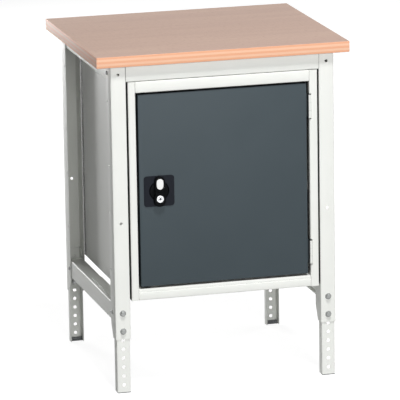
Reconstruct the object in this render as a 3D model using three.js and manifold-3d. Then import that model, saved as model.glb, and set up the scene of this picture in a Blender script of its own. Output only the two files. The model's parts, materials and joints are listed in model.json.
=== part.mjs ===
// Workbench with a one-door cupboard, on four legs that are set to height by holes and bolts.
// Millimetres, +Z up, +X to the right as seen from the front, and the front faces -Y.
// The origin is on the floor below the middle of the worktop, with the legs fully drawn out.
import * as THREE from 'three';
import { mergeVertices } from 'three/addons/utils/BufferGeometryUtils.js';
import Module from 'manifold-3d';

const wasm = await Module();
wasm.setup();

// Worktop
const BENCH_WIDTH = 700;
const BENCH_DEPTH = 600;
const BENCH_HEIGHT = 930;
const TOP_THICKNESS = 30;
const TOP_EDGE_EASE = 1.5;

// Clearances
const SEAT_GAP = 0.2; // pieces that are clamped, welded or set on each other
const RUNNING_GAP = 0.3; // pieces that turn or slide in each other

// Frame of folded steel
const FRAME_SHEET = 2;
const FRAME_BEND = 1; // inside radius of the folds
const SIDE_OVERHANG = 40.5; // worktop past the uprights
const FRONT_OVERHANG = 16;
const REAR_OVERHANG = 8;
const UPRIGHT_WIDTH = 42;
const UPRIGHT_DEPTH = 50;
const UPRIGHT_FOOT = 150; // height of the uprights' lower ends
const FLANGE_CUT_DEPTH = 20; // slanted lower end of the flanges
const FLANGE_CUT_HEIGHT = 40;
const FLANGE_HOLE = 7;
const FLANGE_HOLE_SETBACK = 38; // behind the outer face of the web
const WEB_HOLE = 8;
const WEB_HOLE_DROP = 23; // below the top edge of the frame
const WEB_HOLE_HEIGHT = 471;
const SPARE_HOLE_HEIGHTS = [340, 497, 623, 800];

// Lower legs, their bolts and feet
const LEG_DEPTH = 25;
const LEG_OVERLAP = 120; // inside the upright when drawn out
const LEG_HOLE_START = 22.5;
const LEG_HOLE_PITCH = 25;
const LEG_HOLE_EDGE = 10; // from the last hole to the end of the leg
const LEG_BOLT = 8;
const LEG_BOLT_PLAY = 2; // hole over bolt
const LEG_BOLT_EDGE = 20; // lowest bolt above the end of the upright
const LEG_BOLT_SPACING = 50; // between the two bolts, to the nearest hole
const BOLT_FLANGE = 17;
const BOLT_FLANGE_THICKNESS = 1.5;
const BOLT_HEX = 15; // across the corners
const BOLT_HEAD_HEIGHT = 5;
const NUT_HEIGHT = 6.5;
const BOLT_TAIL = 3; // thread past the nut
const FOOT_THICKNESS = 2; // below the end of the leg
const FOOT_DEPTH = 10;
const FOOT_CHAMFER = 1.5;
const FOOT_PLUG_HEIGHT = 8;

// Rails
const RAIL_HEIGHT = 44; // front and rear rail
const RAIL_DEPTH = 45;
const SIDE_RAIL_HEIGHT = 45;
const LOWER_RAIL_FOOT = 195;
const LOWER_RAIL_HEIGHT = 50;
const SIDE_RAIL_LIP = 15;
const RAIL_LEG_GAP = 1; // from the rail's end to the sliding leg
const END_PLATE_COVER = 0.5; // sheet left outside the welded end plates

// Cupboard of folded steel
const CABINET_SHEET = 1.5;
const CABINET_BEND = 0.8;
const CABINET_SIDE_GAP = 5; // to the uprights
const CABINET_PROUD = 1; // in front of the uprights
const CABINET_REAR_GAP = 27; // to the rear uprights' outer faces
const CABINET_HEAD_GAP = 0.8; // below the front rail
const LEFT_STILE = 20;
const RIGHT_STILE = 22.5;
const STILE_RETURN = 18;
const HEAD_HEIGHT = 30.5;
const HEAD_LIP = 30;
const PLINTH_HEIGHT = 22;
const PLINTH_LIP = 15;
const SILL_HEIGHT = 8;
const SILL_SETBACK = 2;
const PANEL_FLANGE = 17;
const PANEL_LAP = 5;

// Cupboard supports on the lower rails
const SUPPORT_HEIGHT = 10;
const SUPPORT_LENGTH = 260;
const SUPPORT_LEDGE_LENGTH = 150;
const SUPPORT_FOOT = 28;
const SUPPORT_LEDGE = 24;
const SUPPORT_END_GAP = 3;

// Shelf
const SHELF_HEIGHT = 255; // above the floor panel
const SHELF_LIP = 25;
const SHELF_FRONT_GAP = 50;
const SHELF_REAR_GAP = 8;
const SHELF_SIDE_PLAY = 1;
const BEARER_LEG = 18;
const BEARER_END_GAP = 6;

// Door
const DOOR_SHEET = 1.5;
const DOOR_DEPTH = 18;
const DOOR_RECESS = 5;
const DOOR_EDGE_EASE = 1.2;
const DOOR_GAP_LEFT = 7.5;
const DOOR_GAP_RIGHT = 6.5;
const DOOR_GAP_TOP = 6;
const DOOR_GAP_BOTTOM = 6;
const STIFFENER_FLANGE = 20;
const STIFFENER_CROWN = 50;
const STIFFENER_DEPTH = 12;
const STIFFENER_END_GAP = 10;

// Hinges
const HINGE_LENGTH = 64;
const HINGE_END_KNUCKLE = 21.4; // above and below the door leaf's knuckle
const HINGE_BARREL = 7;
const HINGE_PIN = 4;
const HINGE_LEAF = 1.5;
const HINGE_LEAF_INSET = 0.4; // from the outside of the barrel
const HINGE_CRANK = 4.5; // from the door's edge to its leaf
const HINGE_CRANK_FOOT = 8; // part of the leaf that is welded to the door's edge
const HINGE_DROP = 63.5; // from the door's top edge to the middle of the upper hinge
const HINGE_RISE = 60;
const LEAF_END_GAP = 2;
const PIN_HEAD = 6;
const PIN_HEAD_HEIGHT = 1.2;
const HINGE_NOTCH_PLAY = 2;

// Turning handle with lock
const HANDLE_FROM_EDGE = 54.2;
const HANDLE_BELOW_MIDDLE = 2.2;
const DISH_SIZE = 84;
const DISH_CORNER = 8;
const DISH_FLANGE = 2;
const DISH_CUP = 68;
const DISH_CUP_CORNER = 6;
const DISH_WALL = 2; // behind the recess
const DISH_DEPTH = 15;
const DISH_KNOB_GAP = 2; // round recess beside the knob
const CLAMP_SIZE = 84;
const CLAMP_THICKNESS = 2;
const KNOB_DIAMETER = 51;
const KNOB_THICKNESS = 5.5;
const HUB_DIAMETER = 24;
const GRIP_WIDTH = 32;
const GRIP_HEIGHT = 83;
const GRIP_THICKNESS = 10;
const INSERT_WIDTH = 19;
const INSERT_HEIGHT = 29.5;
const INSERT_RISE = 20.5; // above the handle's axis
const INSERT_SINK = 1.2;
const INSERT_PROUD = 0.4;
const LOCK_DIAMETER = 19.4;
const LOCK_DROP = 20.1; // below the handle's axis
const LOCK_LENGTH = 9.5;
const LOCK_PROUD = 0.8;
const LOCK_FLOOR = 1.5;
const PLUG_DIAMETER = 12;
const KEYHOLE_WIDTH = 2;
const KEYHOLE_HEIGHT = 8;
const KEYHOLE_DEPTH = 3;
const SPINDLE_DIAMETER = 10;
const SPINDLE_SQUARE = 7;
const SPINDLE_TONGUE = 10;
const SPINDLE_THREAD = 6;
const CAM_THICKNESS = 3;
const CAM_WIDTH = 20;
const CAM_OVERLAP = 10; // over the strike plate when turned
const CAM_NUT_HEX = 12;
const CAM_NUT_HEIGHT = 5;

// Strike plate and door buffers
const STRIKE_SHEET = 2;
const STRIKE_LENGTH = 60;
const STRIKE_LEDGE = 14;
const STRIKE_BEND = 0.5;
const CAM_TO_STRIKE = 0.5;
const CAM_TO_DOOR = 3;
const BUFFER_WIDTH = 12;
const BUFFER_THICKNESS = 7;
const BUFFER_HEIGHT = 15;
const BUFFER_INSET = 12; // from the door's free edge

// Fineness of round shapes
const ROUND_SIDES = 24;
const RECESS_SIDES = 48;
const HOLE_SIDES = 12;
const FLANGE_SIDES = 16;
const HEX_SIDES = 6;
const BEND_STEPS = 3;
const CORNER_STEPS = 4;
const EASE_STEPS = 2;
const OVERRUN = 1; // cutters reach this far past what they cut

const LIGHT_GREY = { color: 0xf1f2ee, roughness: 0.5, metalness: 0.0 };
const ANTHRACITE = { color: 0x50575c, roughness: 0.5, metalness: 0.0 };
const BEECH = { color: 0xcfae93, roughness: 0.45, metalness: 0.0 };
const ZINC = { color: 0xb4b6b4, roughness: 0.35, metalness: 1.0 };
const BLACK = { color: 0x1e2023, roughness: 0.45, metalness: 0.0 };
const DARK_DISH = { color: 0x2a2d35, roughness: 0.5, metalness: 0.0 };
const PALE_INSERT = { color: 0xdfe1de, roughness: 0.4, metalness: 0.0 };
const CHROME = { color: 0xd6d8da, roughness: 0.12, metalness: 1.0 };
const RUBBER = { color: 0x2b2b2b, roughness: 0.85, metalness: 0.0 };

const X_AXIS = new THREE.Vector3(1, 0, 0);
const Y_AXIS = new THREE.Vector3(0, 1, 0);
const Z_AXIS = new THREE.Vector3(0, 0, 1);
const HANDS = [['left', -1], ['right', 1]];

const bench = new THREE.Group();

// A closed solid from a three.js geometry
function solid(geometry) {
  geometry.deleteAttribute('normal');
  geometry.deleteAttribute('uv');
  const merged = mergeVertices(geometry);
  const mesh = new wasm.Mesh({
    numProp: 3,
    vertProperties: new Float32Array(merged.attributes.position.array),
    triVerts: new Uint32Array(merged.index.array),
  });
  return new wasm.Manifold(mesh);
}

// A named piece of the bench, in its finish
function place(name, body, finish) {
  const { vertProperties, triVerts } = body.getMesh();
  const geometry = new THREE.BufferGeometry();
  geometry.setAttribute('position', new THREE.BufferAttribute(vertProperties, 3));
  geometry.setIndex(new THREE.BufferAttribute(triVerts, 1));
  geometry.computeVertexNormals();
  const mesh = new THREE.Mesh(geometry, new THREE.MeshStandardMaterial(finish));
  mesh.name = name;
  bench.add(mesh);
}

// A block between two limits along each axis, which may be given in either order
function block(x, y, z) {
  const size = [x, y, z].map(([a, b]) => Math.abs(b - a));
  const middle = [x, y, z].map(([a, b]) => (a + b) / 2);
  const geometry = new THREE.BoxGeometry(...size);
  geometry.translate(...middle);
  return solid(geometry);
}

// A round or hexagonal rod along an axis; its place gives the other two coordinates
function rod(axis, at, [from, to], diameter, sides = ROUND_SIDES) {
  const geometry = new THREE.CylinderGeometry(diameter / 2, diameter / 2, Math.abs(to - from), sides);
  if (axis === 'x') geometry.rotateZ(Math.PI / 2);
  if (axis === 'z') geometry.rotateX(Math.PI / 2);
  const middle = { ...at, [axis]: (from + to) / 2 };
  geometry.translate(middle.x, middle.y, middle.z);
  return solid(geometry);
}

// An outline carried along an axis. It is drawn as (y, z) along x, (x, z) along y, or (x, y) along z.
function extruded(outline, axis, [from, to], ease = 0) {
  const shape = new THREE.Shape(outline.map(([u, v]) => new THREE.Vector2(u, v)));
  const geometry = new THREE.ExtrudeGeometry(shape, {
    depth: to - from - 2 * ease,
    bevelEnabled: ease > 0,
    bevelThickness: ease,
    bevelSize: ease,
    bevelOffset: -ease,
    bevelSegments: EASE_STEPS,
  });
  const start = axis === 'y' ? -to : from;
  geometry.translate(0, 0, start + ease);
  const turned = {
    x: [Y_AXIS, Z_AXIS, X_AXIS],
    y: [X_AXIS, Z_AXIS, Y_AXIS.clone().negate()],
    z: [X_AXIS, Y_AXIS, Z_AXIS],
  };
  geometry.applyMatrix4(new THREE.Matrix4().makeBasis(...turned[axis]));
  return solid(geometry);
}

// Outline of a rectangle with round corners
function roundedRectangle([u, v], width, height, radius) {
  const outline = [];
  for (let corner = 0; corner < 4; corner += 1) {
    const right = corner === 0 || corner === 3;
    const upper = corner < 2;
    const centreU = u + (right ? 1 : -1) * (width / 2 - radius);
    const centreV = v + (upper ? 1 : -1) * (height / 2 - radius);
    for (let step = 0; step <= CORNER_STEPS; step += 1) {
      const angle = (corner + step / CORNER_STEPS) * (Math.PI / 2);
      outline.push([centreU + radius * Math.cos(angle), centreV + radius * Math.sin(angle)]);
    }
  }
  return outline;
}

// Outline of a rectangle with sharp corners
function rectangle([u0, u1], [v0, v1]) {
  return [[u0, v0], [u1, v0], [u1, v1], [u0, v1]];
}

// Outline of a folded sheet. The path follows one face, and the sheet lies to the left of it.
function foldedSheet(path, thickness, bend) {
  const points = path.map(([u, v]) => new THREE.Vector2(u, v));
  const heading = (i) => points[i + 1].clone().sub(points[i]).normalize();
  const left = (direction) => new THREE.Vector2(-direction.y, direction.x);
  const last = points.length - 1;
  const near = [points[0]];
  const far = [points[0].clone().addScaledVector(left(heading(0)), thickness)];
  for (let i = 1; i < last; i += 1) {
    const before = heading(i - 1);
    const after = heading(i);
    const turn = Math.atan2(before.cross(after), before.dot(after));
    const nearRadius = turn > 0 ? bend + thickness : bend;
    const farRadius = turn > 0 ? bend : bend + thickness;
    const tangent = nearRadius * Math.tan(Math.abs(turn) / 2);
    const start = points[i].clone().addScaledVector(before, -tangent);
    const outward = left(before).multiplyScalar(-Math.sign(turn));
    const centre = start.clone().addScaledVector(outward, -nearRadius);
    for (let step = 0; step <= BEND_STEPS; step += 1) {
      const spoke = outward.clone().rotateAround(new THREE.Vector2(), (turn * step) / BEND_STEPS);
      near.push(centre.clone().addScaledVector(spoke, nearRadius));
      far.push(centre.clone().addScaledVector(spoke, farRadius));
    }
  }
  near.push(points[last]);
  far.push(points[last].clone().addScaledVector(left(heading(last - 1)), thickness));
  return [...near, ...far.reverse()].map((point) => [point.x, point.y]);
}

// A path drawn for the right-hand side of the bench, or its mirror image for the left
function handed(path, side) {
  if (side > 0) return path;
  return path.map(([u, v]) => [-u, v]).reverse();
}

// Path of a channel that opens away from its web, on the front or the rear of the bench
function channelPath(x, web, inward, width, depth) {
  const reach = inward * (width / 2);
  const tip = web + inward * depth;
  return [[x - reach, tip], [x - reach, web], [x + reach, web], [x + reach, tip]];
}

// Path of a channel that lies along x with its face towards the front or the rear
function facePath(face, inward, [bottom, top], topDepth, bottomDepth) {
  const path = [
    [face + inward * topDepth, top],
    [face, top],
    [face, bottom],
    [face + inward * bottomDepth, bottom],
  ];
  return inward > 0 ? path : path.reverse();
}

// Frame planes
const frameTop = BENCH_HEIGHT - TOP_THICKNESS - SEAT_GAP;
const frameFront = -BENCH_DEPTH / 2 + FRONT_OVERHANG;
const frameRear = BENCH_DEPTH / 2 - REAR_OVERHANG;
const uprightX = BENCH_WIDTH / 2 - SIDE_OVERHANG - UPRIGHT_WIDTH / 2;
const innerFlangeX = uprightX - UPRIGHT_WIDTH / 2;
const outerFlangeX = uprightX + UPRIGHT_WIDTH / 2;
const upperFixing = frameTop - SIDE_RAIL_HEIGHT / 2;
const lowerFixing = LOWER_RAIL_FOOT + LOWER_RAIL_HEIGHT / 2;
const railFixing = frameTop - RAIL_HEIGHT / 2;

const corners = [];
for (const [end, inward, web] of [['front', 1, frameFront], ['rear', -1, frameRear]]) {
  for (const [hand, side] of HANDS) {
    corners.push({ name: `${end}_${hand}`, inward, web, side, x: side * uprightX });
  }
}

// Holes where the bolts hold the leg, on the same pitch as the holes in the leg
const legTop = UPRIGHT_FOOT + LEG_OVERLAP;
const legWeb = FRAME_SHEET + RUNNING_GAP;
const legWidth = UPRIGHT_WIDTH - 2 * (FRAME_SHEET + RUNNING_GAP);
const legHole = LEG_BOLT + LEG_BOLT_PLAY;
const lowerBoltRow = Math.ceil((UPRIGHT_FOOT + LEG_BOLT_EDGE - LEG_HOLE_START) / LEG_HOLE_PITCH);
const rowsBetweenBolts = Math.max(1, Math.round(LEG_BOLT_SPACING / LEG_HOLE_PITCH));
const boltRows = { lower: lowerBoltRow, upper: lowerBoltRow + rowsBetweenBolts };
const rowHeight = (row) => LEG_HOLE_START + row * LEG_HOLE_PITCH;

// Beech multiplex top, screwed down on the frame
function makeWorktop() {
  const plan = rectangle([-BENCH_WIDTH / 2, BENCH_WIDTH / 2], [-BENCH_DEPTH / 2, BENCH_DEPTH / 2]);
  const top = extruded(plan, 'z', [BENCH_HEIGHT - TOP_THICKNESS, BENCH_HEIGHT], TOP_EDGE_EASE);
  place('worktop', top, BEECH);
}

// Upright: a folded channel, open towards the middle of the bench, slanted at its lower end
function makeUpright({ name, x, web, inward, side }) {
  const path = channelPath(x, web, inward, UPRIGHT_WIDTH, UPRIGHT_DEPTH);
  let upright = extruded(foldedSheet(path, FRAME_SHEET, FRAME_BEND), 'z', [UPRIGHT_FOOT, frameTop]);
  const slope = FLANGE_CUT_HEIGHT / FLANGE_CUT_DEPTH;
  const cut = [
    [web + inward * (UPRIGHT_DEPTH - FLANGE_CUT_DEPTH - OVERRUN), UPRIGHT_FOOT - OVERRUN * slope],
    [web + inward * (UPRIGHT_DEPTH + OVERRUN), UPRIGHT_FOOT - OVERRUN * slope],
    [web + inward * (UPRIGHT_DEPTH + OVERRUN), UPRIGHT_FOOT + FLANGE_CUT_HEIGHT + OVERRUN * slope],
  ];
  const reach = UPRIGHT_WIDTH / 2 + OVERRUN;
  upright = upright.subtract(extruded(cut, 'x', [x - reach, x + reach]));
  const webSpan = [web - inward * OVERRUN, web + inward * (FRAME_SHEET + OVERRUN)];
  for (const height of [frameTop - WEB_HOLE_DROP, WEB_HOLE_HEIGHT]) {
    upright = upright.subtract(rod('y', { x, z: height }, webSpan, WEB_HOLE, HOLE_SIDES));
  }
  for (const row of Object.values(boltRows)) {
    upright = upright.subtract(rod('y', { x, z: rowHeight(row) }, webSpan, legHole, HOLE_SIDES));
  }
  const y = web + inward * FLANGE_HOLE_SETBACK;
  const outerSpan = [side * (outerFlangeX + OVERRUN), side * (outerFlangeX - FRAME_SHEET - OVERRUN)];
  for (const height of [lowerFixing, ...SPARE_HOLE_HEIGHTS, upperFixing]) {
    upright = upright.subtract(rod('x', { y, z: height }, outerSpan, FLANGE_HOLE, HOLE_SIDES));
  }
  const innerSpan = [side * (innerFlangeX - OVERRUN), side * (innerFlangeX + FRAME_SHEET + OVERRUN)];
  upright = upright.subtract(rod('x', { y, z: railFixing }, innerSpan, FLANGE_HOLE, HOLE_SIDES));
  place(`upright_${name}`, upright, LIGHT_GREY);
}

// Lower leg: a narrower channel that slides in the upright, with a row of holes for the height
function makeLowerLeg({ name, x, web, inward }) {
  const face = web + inward * legWeb;
  const path = channelPath(x, face, inward, legWidth, LEG_DEPTH);
  let leg = extruded(foldedSheet(path, FRAME_SHEET, FRAME_BEND), 'z', [FOOT_THICKNESS + SEAT_GAP, legTop]);
  const span = [face - inward * OVERRUN, face + inward * (FRAME_SHEET + OVERRUN)];
  for (let row = 0; rowHeight(row) + LEG_HOLE_EDGE < legTop; row += 1) {
    leg = leg.subtract(rod('y', { x, z: rowHeight(row) }, span, legHole, HOLE_SIDES));
  }
  place(`lower_leg_${name}`, leg, LIGHT_GREY);
}

// Foot: a plastic glide along the end of the leg's web, with a plug between the flanges
function makeFoot({ name, x, web, inward }) {
  const half = legWidth / 2;
  const profile = [
    [x - half + FOOT_CHAMFER, 0],
    [x + half - FOOT_CHAMFER, 0],
    [x + half, FOOT_CHAMFER],
    [x + half, FOOT_THICKNESS],
    [x - half, FOOT_THICKNESS],
    [x - half, FOOT_CHAMFER],
  ];
  const rim = [web + inward * legWeb, web + inward * (legWeb + FOOT_DEPTH)];
  const plate = extruded(profile, 'y', [Math.min(...rim), Math.max(...rim)]);
  const plugHalf = half - FRAME_SHEET - RUNNING_GAP;
  const plugFront = web + inward * (legWeb + FRAME_SHEET + FRAME_BEND);
  const plugRear = web + inward * (legWeb + FOOT_DEPTH);
  const plug = block(
    [x - plugHalf + FRAME_BEND, x + plugHalf - FRAME_BEND],
    [plugFront, plugRear],
    [FOOT_THICKNESS / 2, FOOT_THICKNESS + FOOT_PLUG_HEIGHT],
  );
  place(`foot_${name}`, plate.add(plug), BLACK);
}

// Leg bolt: a flanged hexagon bolt through the upright and the leg, with its nut tightened on
function makeLegBolts({ name, x, web, inward }) {
  const inside = (depth) => web + inward * depth;
  const seat = -SEAT_GAP;
  const headSeat = seat - BOLT_FLANGE_THICKNESS;
  const headEnd = headSeat - BOLT_HEAD_HEIGHT;
  const nutSeat = legWeb + FRAME_SHEET + SEAT_GAP;
  const nutEnd = nutSeat + NUT_HEIGHT;
  for (const [level, row] of Object.entries(boltRows)) {
    const at = { x, z: rowHeight(row) };
    const flange = rod('y', at, [inside(seat), inside(headSeat)], BOLT_FLANGE, FLANGE_SIDES);
    const bury = (seat + headSeat) / 2;
    const head = rod('y', at, [inside(bury), inside(headEnd)], BOLT_HEX, HEX_SIDES);
    const shank = rod('y', at, [inside(bury), inside(nutEnd + BOLT_TAIL)], LEG_BOLT, HOLE_SIDES);
    const nut = rod('y', at, [inside(nutSeat), inside(nutEnd)], BOLT_HEX, HEX_SIDES);
    place(`leg_bolt_${name}_${level}`, flange.add(head).add(shank).add(nut), ZINC);
  }
}

// Side rails: folded channels bolted to the inside of the uprights' outer flanges
function makeSideRails() {
  const legReach = legWeb + LEG_DEPTH + RAIL_LEG_GAP;
  const span = [frameFront + legReach, frameRear - legReach];
  const outer = outerFlangeX - FRAME_SHEET - SEAT_GAP;
  const inner = innerFlangeX + FRAME_SHEET + SEAT_GAP;
  const rails = [
    ['upper', frameTop - SIDE_RAIL_HEIGHT, frameTop, upperFixing],
    ['lower', LOWER_RAIL_FOOT, LOWER_RAIL_FOOT + LOWER_RAIL_HEIGHT, lowerFixing],
  ];
  for (const [level, bottom, top, fixing] of rails) {
    for (const [hand, side] of HANDS) {
      const path = [[outer - SIDE_RAIL_LIP, bottom], [outer, bottom], [outer, top], [inner, top]];
      let rail = extruded(foldedSheet(handed(path, side), FRAME_SHEET, FRAME_BEND), 'y', span);
      const drill = [side * (outer + OVERRUN), side * (outer - FRAME_SHEET - OVERRUN)];
      for (const y of [frameFront + FLANGE_HOLE_SETBACK, frameRear - FLANGE_HOLE_SETBACK]) {
        rail = rail.subtract(rod('x', { y, z: fixing }, drill, FLANGE_HOLE, HOLE_SIDES));
      }
      place(`side_rail_${level}_${hand}`, rail, LIGHT_GREY);
    }
  }
}

// Front and rear rails: channels with end plates, bolted between the uprights
function makeCrossRails() {
  const half = innerFlangeX - SEAT_GAP;
  const height = [frameTop - RAIL_HEIGHT, frameTop];
  const bury = FRAME_SHEET - END_PLATE_COVER;
  for (const [name, face, inward] of [['front_rail', frameFront, 1], ['rear_rail', frameRear, -1]]) {
    const path = facePath(face, inward, height, RAIL_DEPTH, RAIL_DEPTH);
    let rail = extruded(foldedSheet(path, FRAME_SHEET, FRAME_BEND), 'x', [-half, half]);
    for (const side of [-1, 1]) {
      const plate = block(
        [side * (half - SEAT_GAP), side * (half - SEAT_GAP - FRAME_SHEET)],
        [face + inward * bury, face + inward * (RAIL_DEPTH - FRAME_SHEET)],
        [height[0] + bury, height[1] - bury],
      );
      const y = face + inward * FLANGE_HOLE_SETBACK;
      const drill = [side * (half + OVERRUN), side * (half - FRAME_SHEET - 2 * OVERRUN)];
      const hole = rod('x', { y, z: railFixing }, drill, FLANGE_HOLE, HOLE_SIDES);
      rail = rail.add(plate).subtract(hole);
    }
    place(name, rail, LIGHT_GREY);
  }
}

// Cupboard planes
const cabinetHalf = innerFlangeX - CABINET_SIDE_GAP;
const cabinetFront = frameFront - CABINET_PROUD;
const cabinetRear = frameRear - CABINET_REAR_GAP;
const cabinetTop = frameTop - RAIL_HEIGHT - CABINET_HEAD_GAP;
const cabinetBottom = LOWER_RAIL_FOOT + LOWER_RAIL_HEIGHT + SUPPORT_HEIGHT;
const panelHalf = cabinetHalf - CABINET_SHEET - SEAT_GAP;
const panelFront = cabinetFront + STILE_RETURN + SEAT_GAP;
const backOuter = cabinetRear - CABINET_SHEET - SEAT_GAP;
const backInner = backOuter - CABINET_SHEET;
const panelRear = backInner - SEAT_GAP;
const openLeft = -cabinetHalf + LEFT_STILE;
const openRight = cabinetHalf - RIGHT_STILE;
const openTop = cabinetTop - HEAD_HEIGHT;
const plinthTop = cabinetBottom + PLINTH_HEIGHT;
const floorTop = plinthTop + SILL_HEIGHT;
const betweenStiles = [openLeft + SEAT_GAP, openRight - SEAT_GAP];

// Door planes and the hinge line, which stands in front of the gap at the right
const doorLeft = openLeft + DOOR_GAP_LEFT;
const doorRight = openRight - DOOR_GAP_RIGHT;
const doorBottom = floorTop + DOOR_GAP_BOTTOM;
const doorTop = openTop - DOOR_GAP_TOP;
const doorFront = cabinetFront + DOOR_RECESS;
const doorRear = doorFront + DOOR_DEPTH;
const leafReach = HINGE_BARREL / 2 - HINGE_LEAF_INSET;
const hingeX = doorRight + SEAT_GAP + HINGE_CRANK + leafReach;
const hingeY = cabinetFront + CABINET_SHEET + SEAT_GAP + HINGE_LEAF - leafReach;
const hingeHeights = { upper: doorTop - HINGE_DROP, lower: doorBottom + HINGE_RISE };

// Side of the cupboard: one folded panel with its stile in front and flanges behind and below
function makeCabinetSides() {
  for (const [hand, side] of HANDS) {
    const stile = side > 0 ? RIGHT_STILE : LEFT_STILE;
    const path = [
      [cabinetHalf - stile, cabinetFront + STILE_RETURN],
      [cabinetHalf - stile, cabinetFront],
      [cabinetHalf, cabinetFront],
      [cabinetHalf, cabinetRear],
      [cabinetHalf - PANEL_FLANGE, cabinetRear],
    ];
    const outline = foldedSheet(handed(path, side), CABINET_SHEET, CABINET_BEND);
    let panel = extruded(outline, 'z', [cabinetBottom, cabinetTop]);
    const flange = block(
      [side * (cabinetHalf - CABINET_SHEET / 2), side * (cabinetHalf - PANEL_FLANGE)],
      [panelFront, panelRear],
      [cabinetBottom, cabinetBottom + CABINET_SHEET],
    );
    panel = panel.add(flange);
    if (side > 0) {
      for (const height of Object.values(hingeHeights)) {
        const reach = HINGE_LENGTH / 2 + PIN_HEAD_HEIGHT + HINGE_NOTCH_PLAY;
        const notch = block(
          [openRight - OVERRUN, hingeX + HINGE_BARREL / 2 + RUNNING_GAP],
          [cabinetFront - OVERRUN, cabinetFront + STILE_RETURN + OVERRUN],
          [height - reach, height + reach],
        );
        panel = panel.subtract(notch);
      }
    }
    place(`cabinet_side_${hand}`, panel, LIGHT_GREY);
  }
}

// Top of the cupboard, folded down in front as the head above the door
function makeCabinetTop() {
  const path = facePath(cabinetFront, 1, [openTop, cabinetTop], STILE_RETURN + PANEL_LAP, HEAD_LIP);
  const head = extruded(foldedSheet(path, CABINET_SHEET, CABINET_BEND), 'x', betweenStiles);
  const plate = block(
    [-panelHalf, panelHalf],
    [panelFront, panelRear],
    [cabinetTop - CABINET_SHEET, cabinetTop],
  );
  place('cabinet_top', head.add(plate), LIGHT_GREY);
}

// Floor of the cupboard, with a narrow sill folded down in front
function makeCabinetFloor() {
  const sillFace = cabinetFront + SILL_SETBACK;
  const path = [
    [panelFront + PANEL_LAP, floorTop],
    [sillFace, floorTop],
    [sillFace, plinthTop + SEAT_GAP],
  ];
  const sill = extruded(foldedSheet(path, CABINET_SHEET, CABINET_BEND), 'x', betweenStiles);
  let floor = sill.add(block(
    [-panelHalf, panelHalf],
    [panelFront, panelRear],
    [floorTop - CABINET_SHEET, floorTop],
  ));
  for (const side of [-1, 1]) {
    floor = floor.add(block(
      [side * panelHalf, side * (panelHalf - CABINET_SHEET)],
      [panelFront, panelRear],
      [floorTop - PANEL_FLANGE, floorTop - CABINET_SHEET / 2],
    ));
  }
  place('cabinet_floor', floor, LIGHT_GREY);
}

// Plinth below the door
function makePlinth() {
  const path = facePath(cabinetFront, 1, [cabinetBottom, plinthTop], PLINTH_LIP, PLINTH_LIP);
  const plinth = extruded(foldedSheet(path, CABINET_SHEET, CABINET_BEND), 'x', betweenStiles);
  place('cabinet_plinth', plinth, LIGHT_GREY);
}

// Back of the cupboard, set in front of the side panels' flanges
function makeCabinetBack() {
  const half = panelHalf - CABINET_BEND;
  const back = block(
    [-half, half],
    [backInner, backOuter],
    [cabinetBottom + CABINET_SHEET + SEAT_GAP, cabinetTop],
  );
  place('cabinet_back', back, LIGHT_GREY);
}

// Supports: strips on the lower rails, with a raised ledge in front that carries the cupboard's sides
function makeSupports() {
  const foot = LOWER_RAIL_FOOT + LOWER_RAIL_HEIGHT + SEAT_GAP;
  const ledge = cabinetBottom - SEAT_GAP - FRAME_SHEET;
  const step = innerFlangeX + FRAME_SHEET + SEAT_GAP;
  const start = frameFront + UPRIGHT_DEPTH + SUPPORT_END_GAP;
  for (const [hand, side] of HANDS) {
    const path = [[step - SUPPORT_LEDGE, ledge], [step, ledge], [step, foot], [step + SUPPORT_FOOT, foot]];
    const outline = foldedSheet(handed(path, side), FRAME_SHEET, FRAME_BEND);
    const support = extruded(outline, 'y', [start, start + SUPPORT_LENGTH]);
    const cutaway = block(
      [side * (step - SUPPORT_LEDGE - OVERRUN), side * (step + SUPPORT_FOOT + OVERRUN)],
      [start + SUPPORT_LEDGE_LENGTH, start + SUPPORT_LENGTH + OVERRUN],
      [foot + FRAME_SHEET, cabinetBottom],
    );
    place(`cabinet_support_${hand}`, support.subtract(cutaway), LIGHT_GREY);
  }
}

// Shelf: a sheet folded down in front and behind, loose on two bearers
function makeShelf() {
  const top = floorTop + SHELF_HEIGHT;
  const front = cabinetFront + SHELF_FRONT_GAP;
  const rear = backInner - SHELF_REAR_GAP;
  const path = [[rear, top - SHELF_LIP], [rear, top], [front, top], [front, top - SHELF_LIP]];
  const half = panelHalf - SHELF_SIDE_PLAY;
  const shelf = extruded(foldedSheet(path, CABINET_SHEET, CABINET_BEND), 'x', [-half, half]);
  place('shelf', shelf, LIGHT_GREY);
  const bearerTop = top - CABINET_SHEET - SEAT_GAP;
  const endGap = CABINET_SHEET + BEARER_END_GAP;
  for (const [hand, side] of HANDS) {
    const angle = [
      [panelHalf, bearerTop - BEARER_LEG],
      [panelHalf, bearerTop],
      [panelHalf - BEARER_LEG, bearerTop],
    ];
    const outline = foldedSheet(handed(angle, side), CABINET_SHEET, CABINET_BEND);
    const bearer = extruded(outline, 'y', [front + endGap, rear - endGap]);
    place(`shelf_bearer_${hand}`, bearer, LIGHT_GREY);
  }
}

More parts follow.
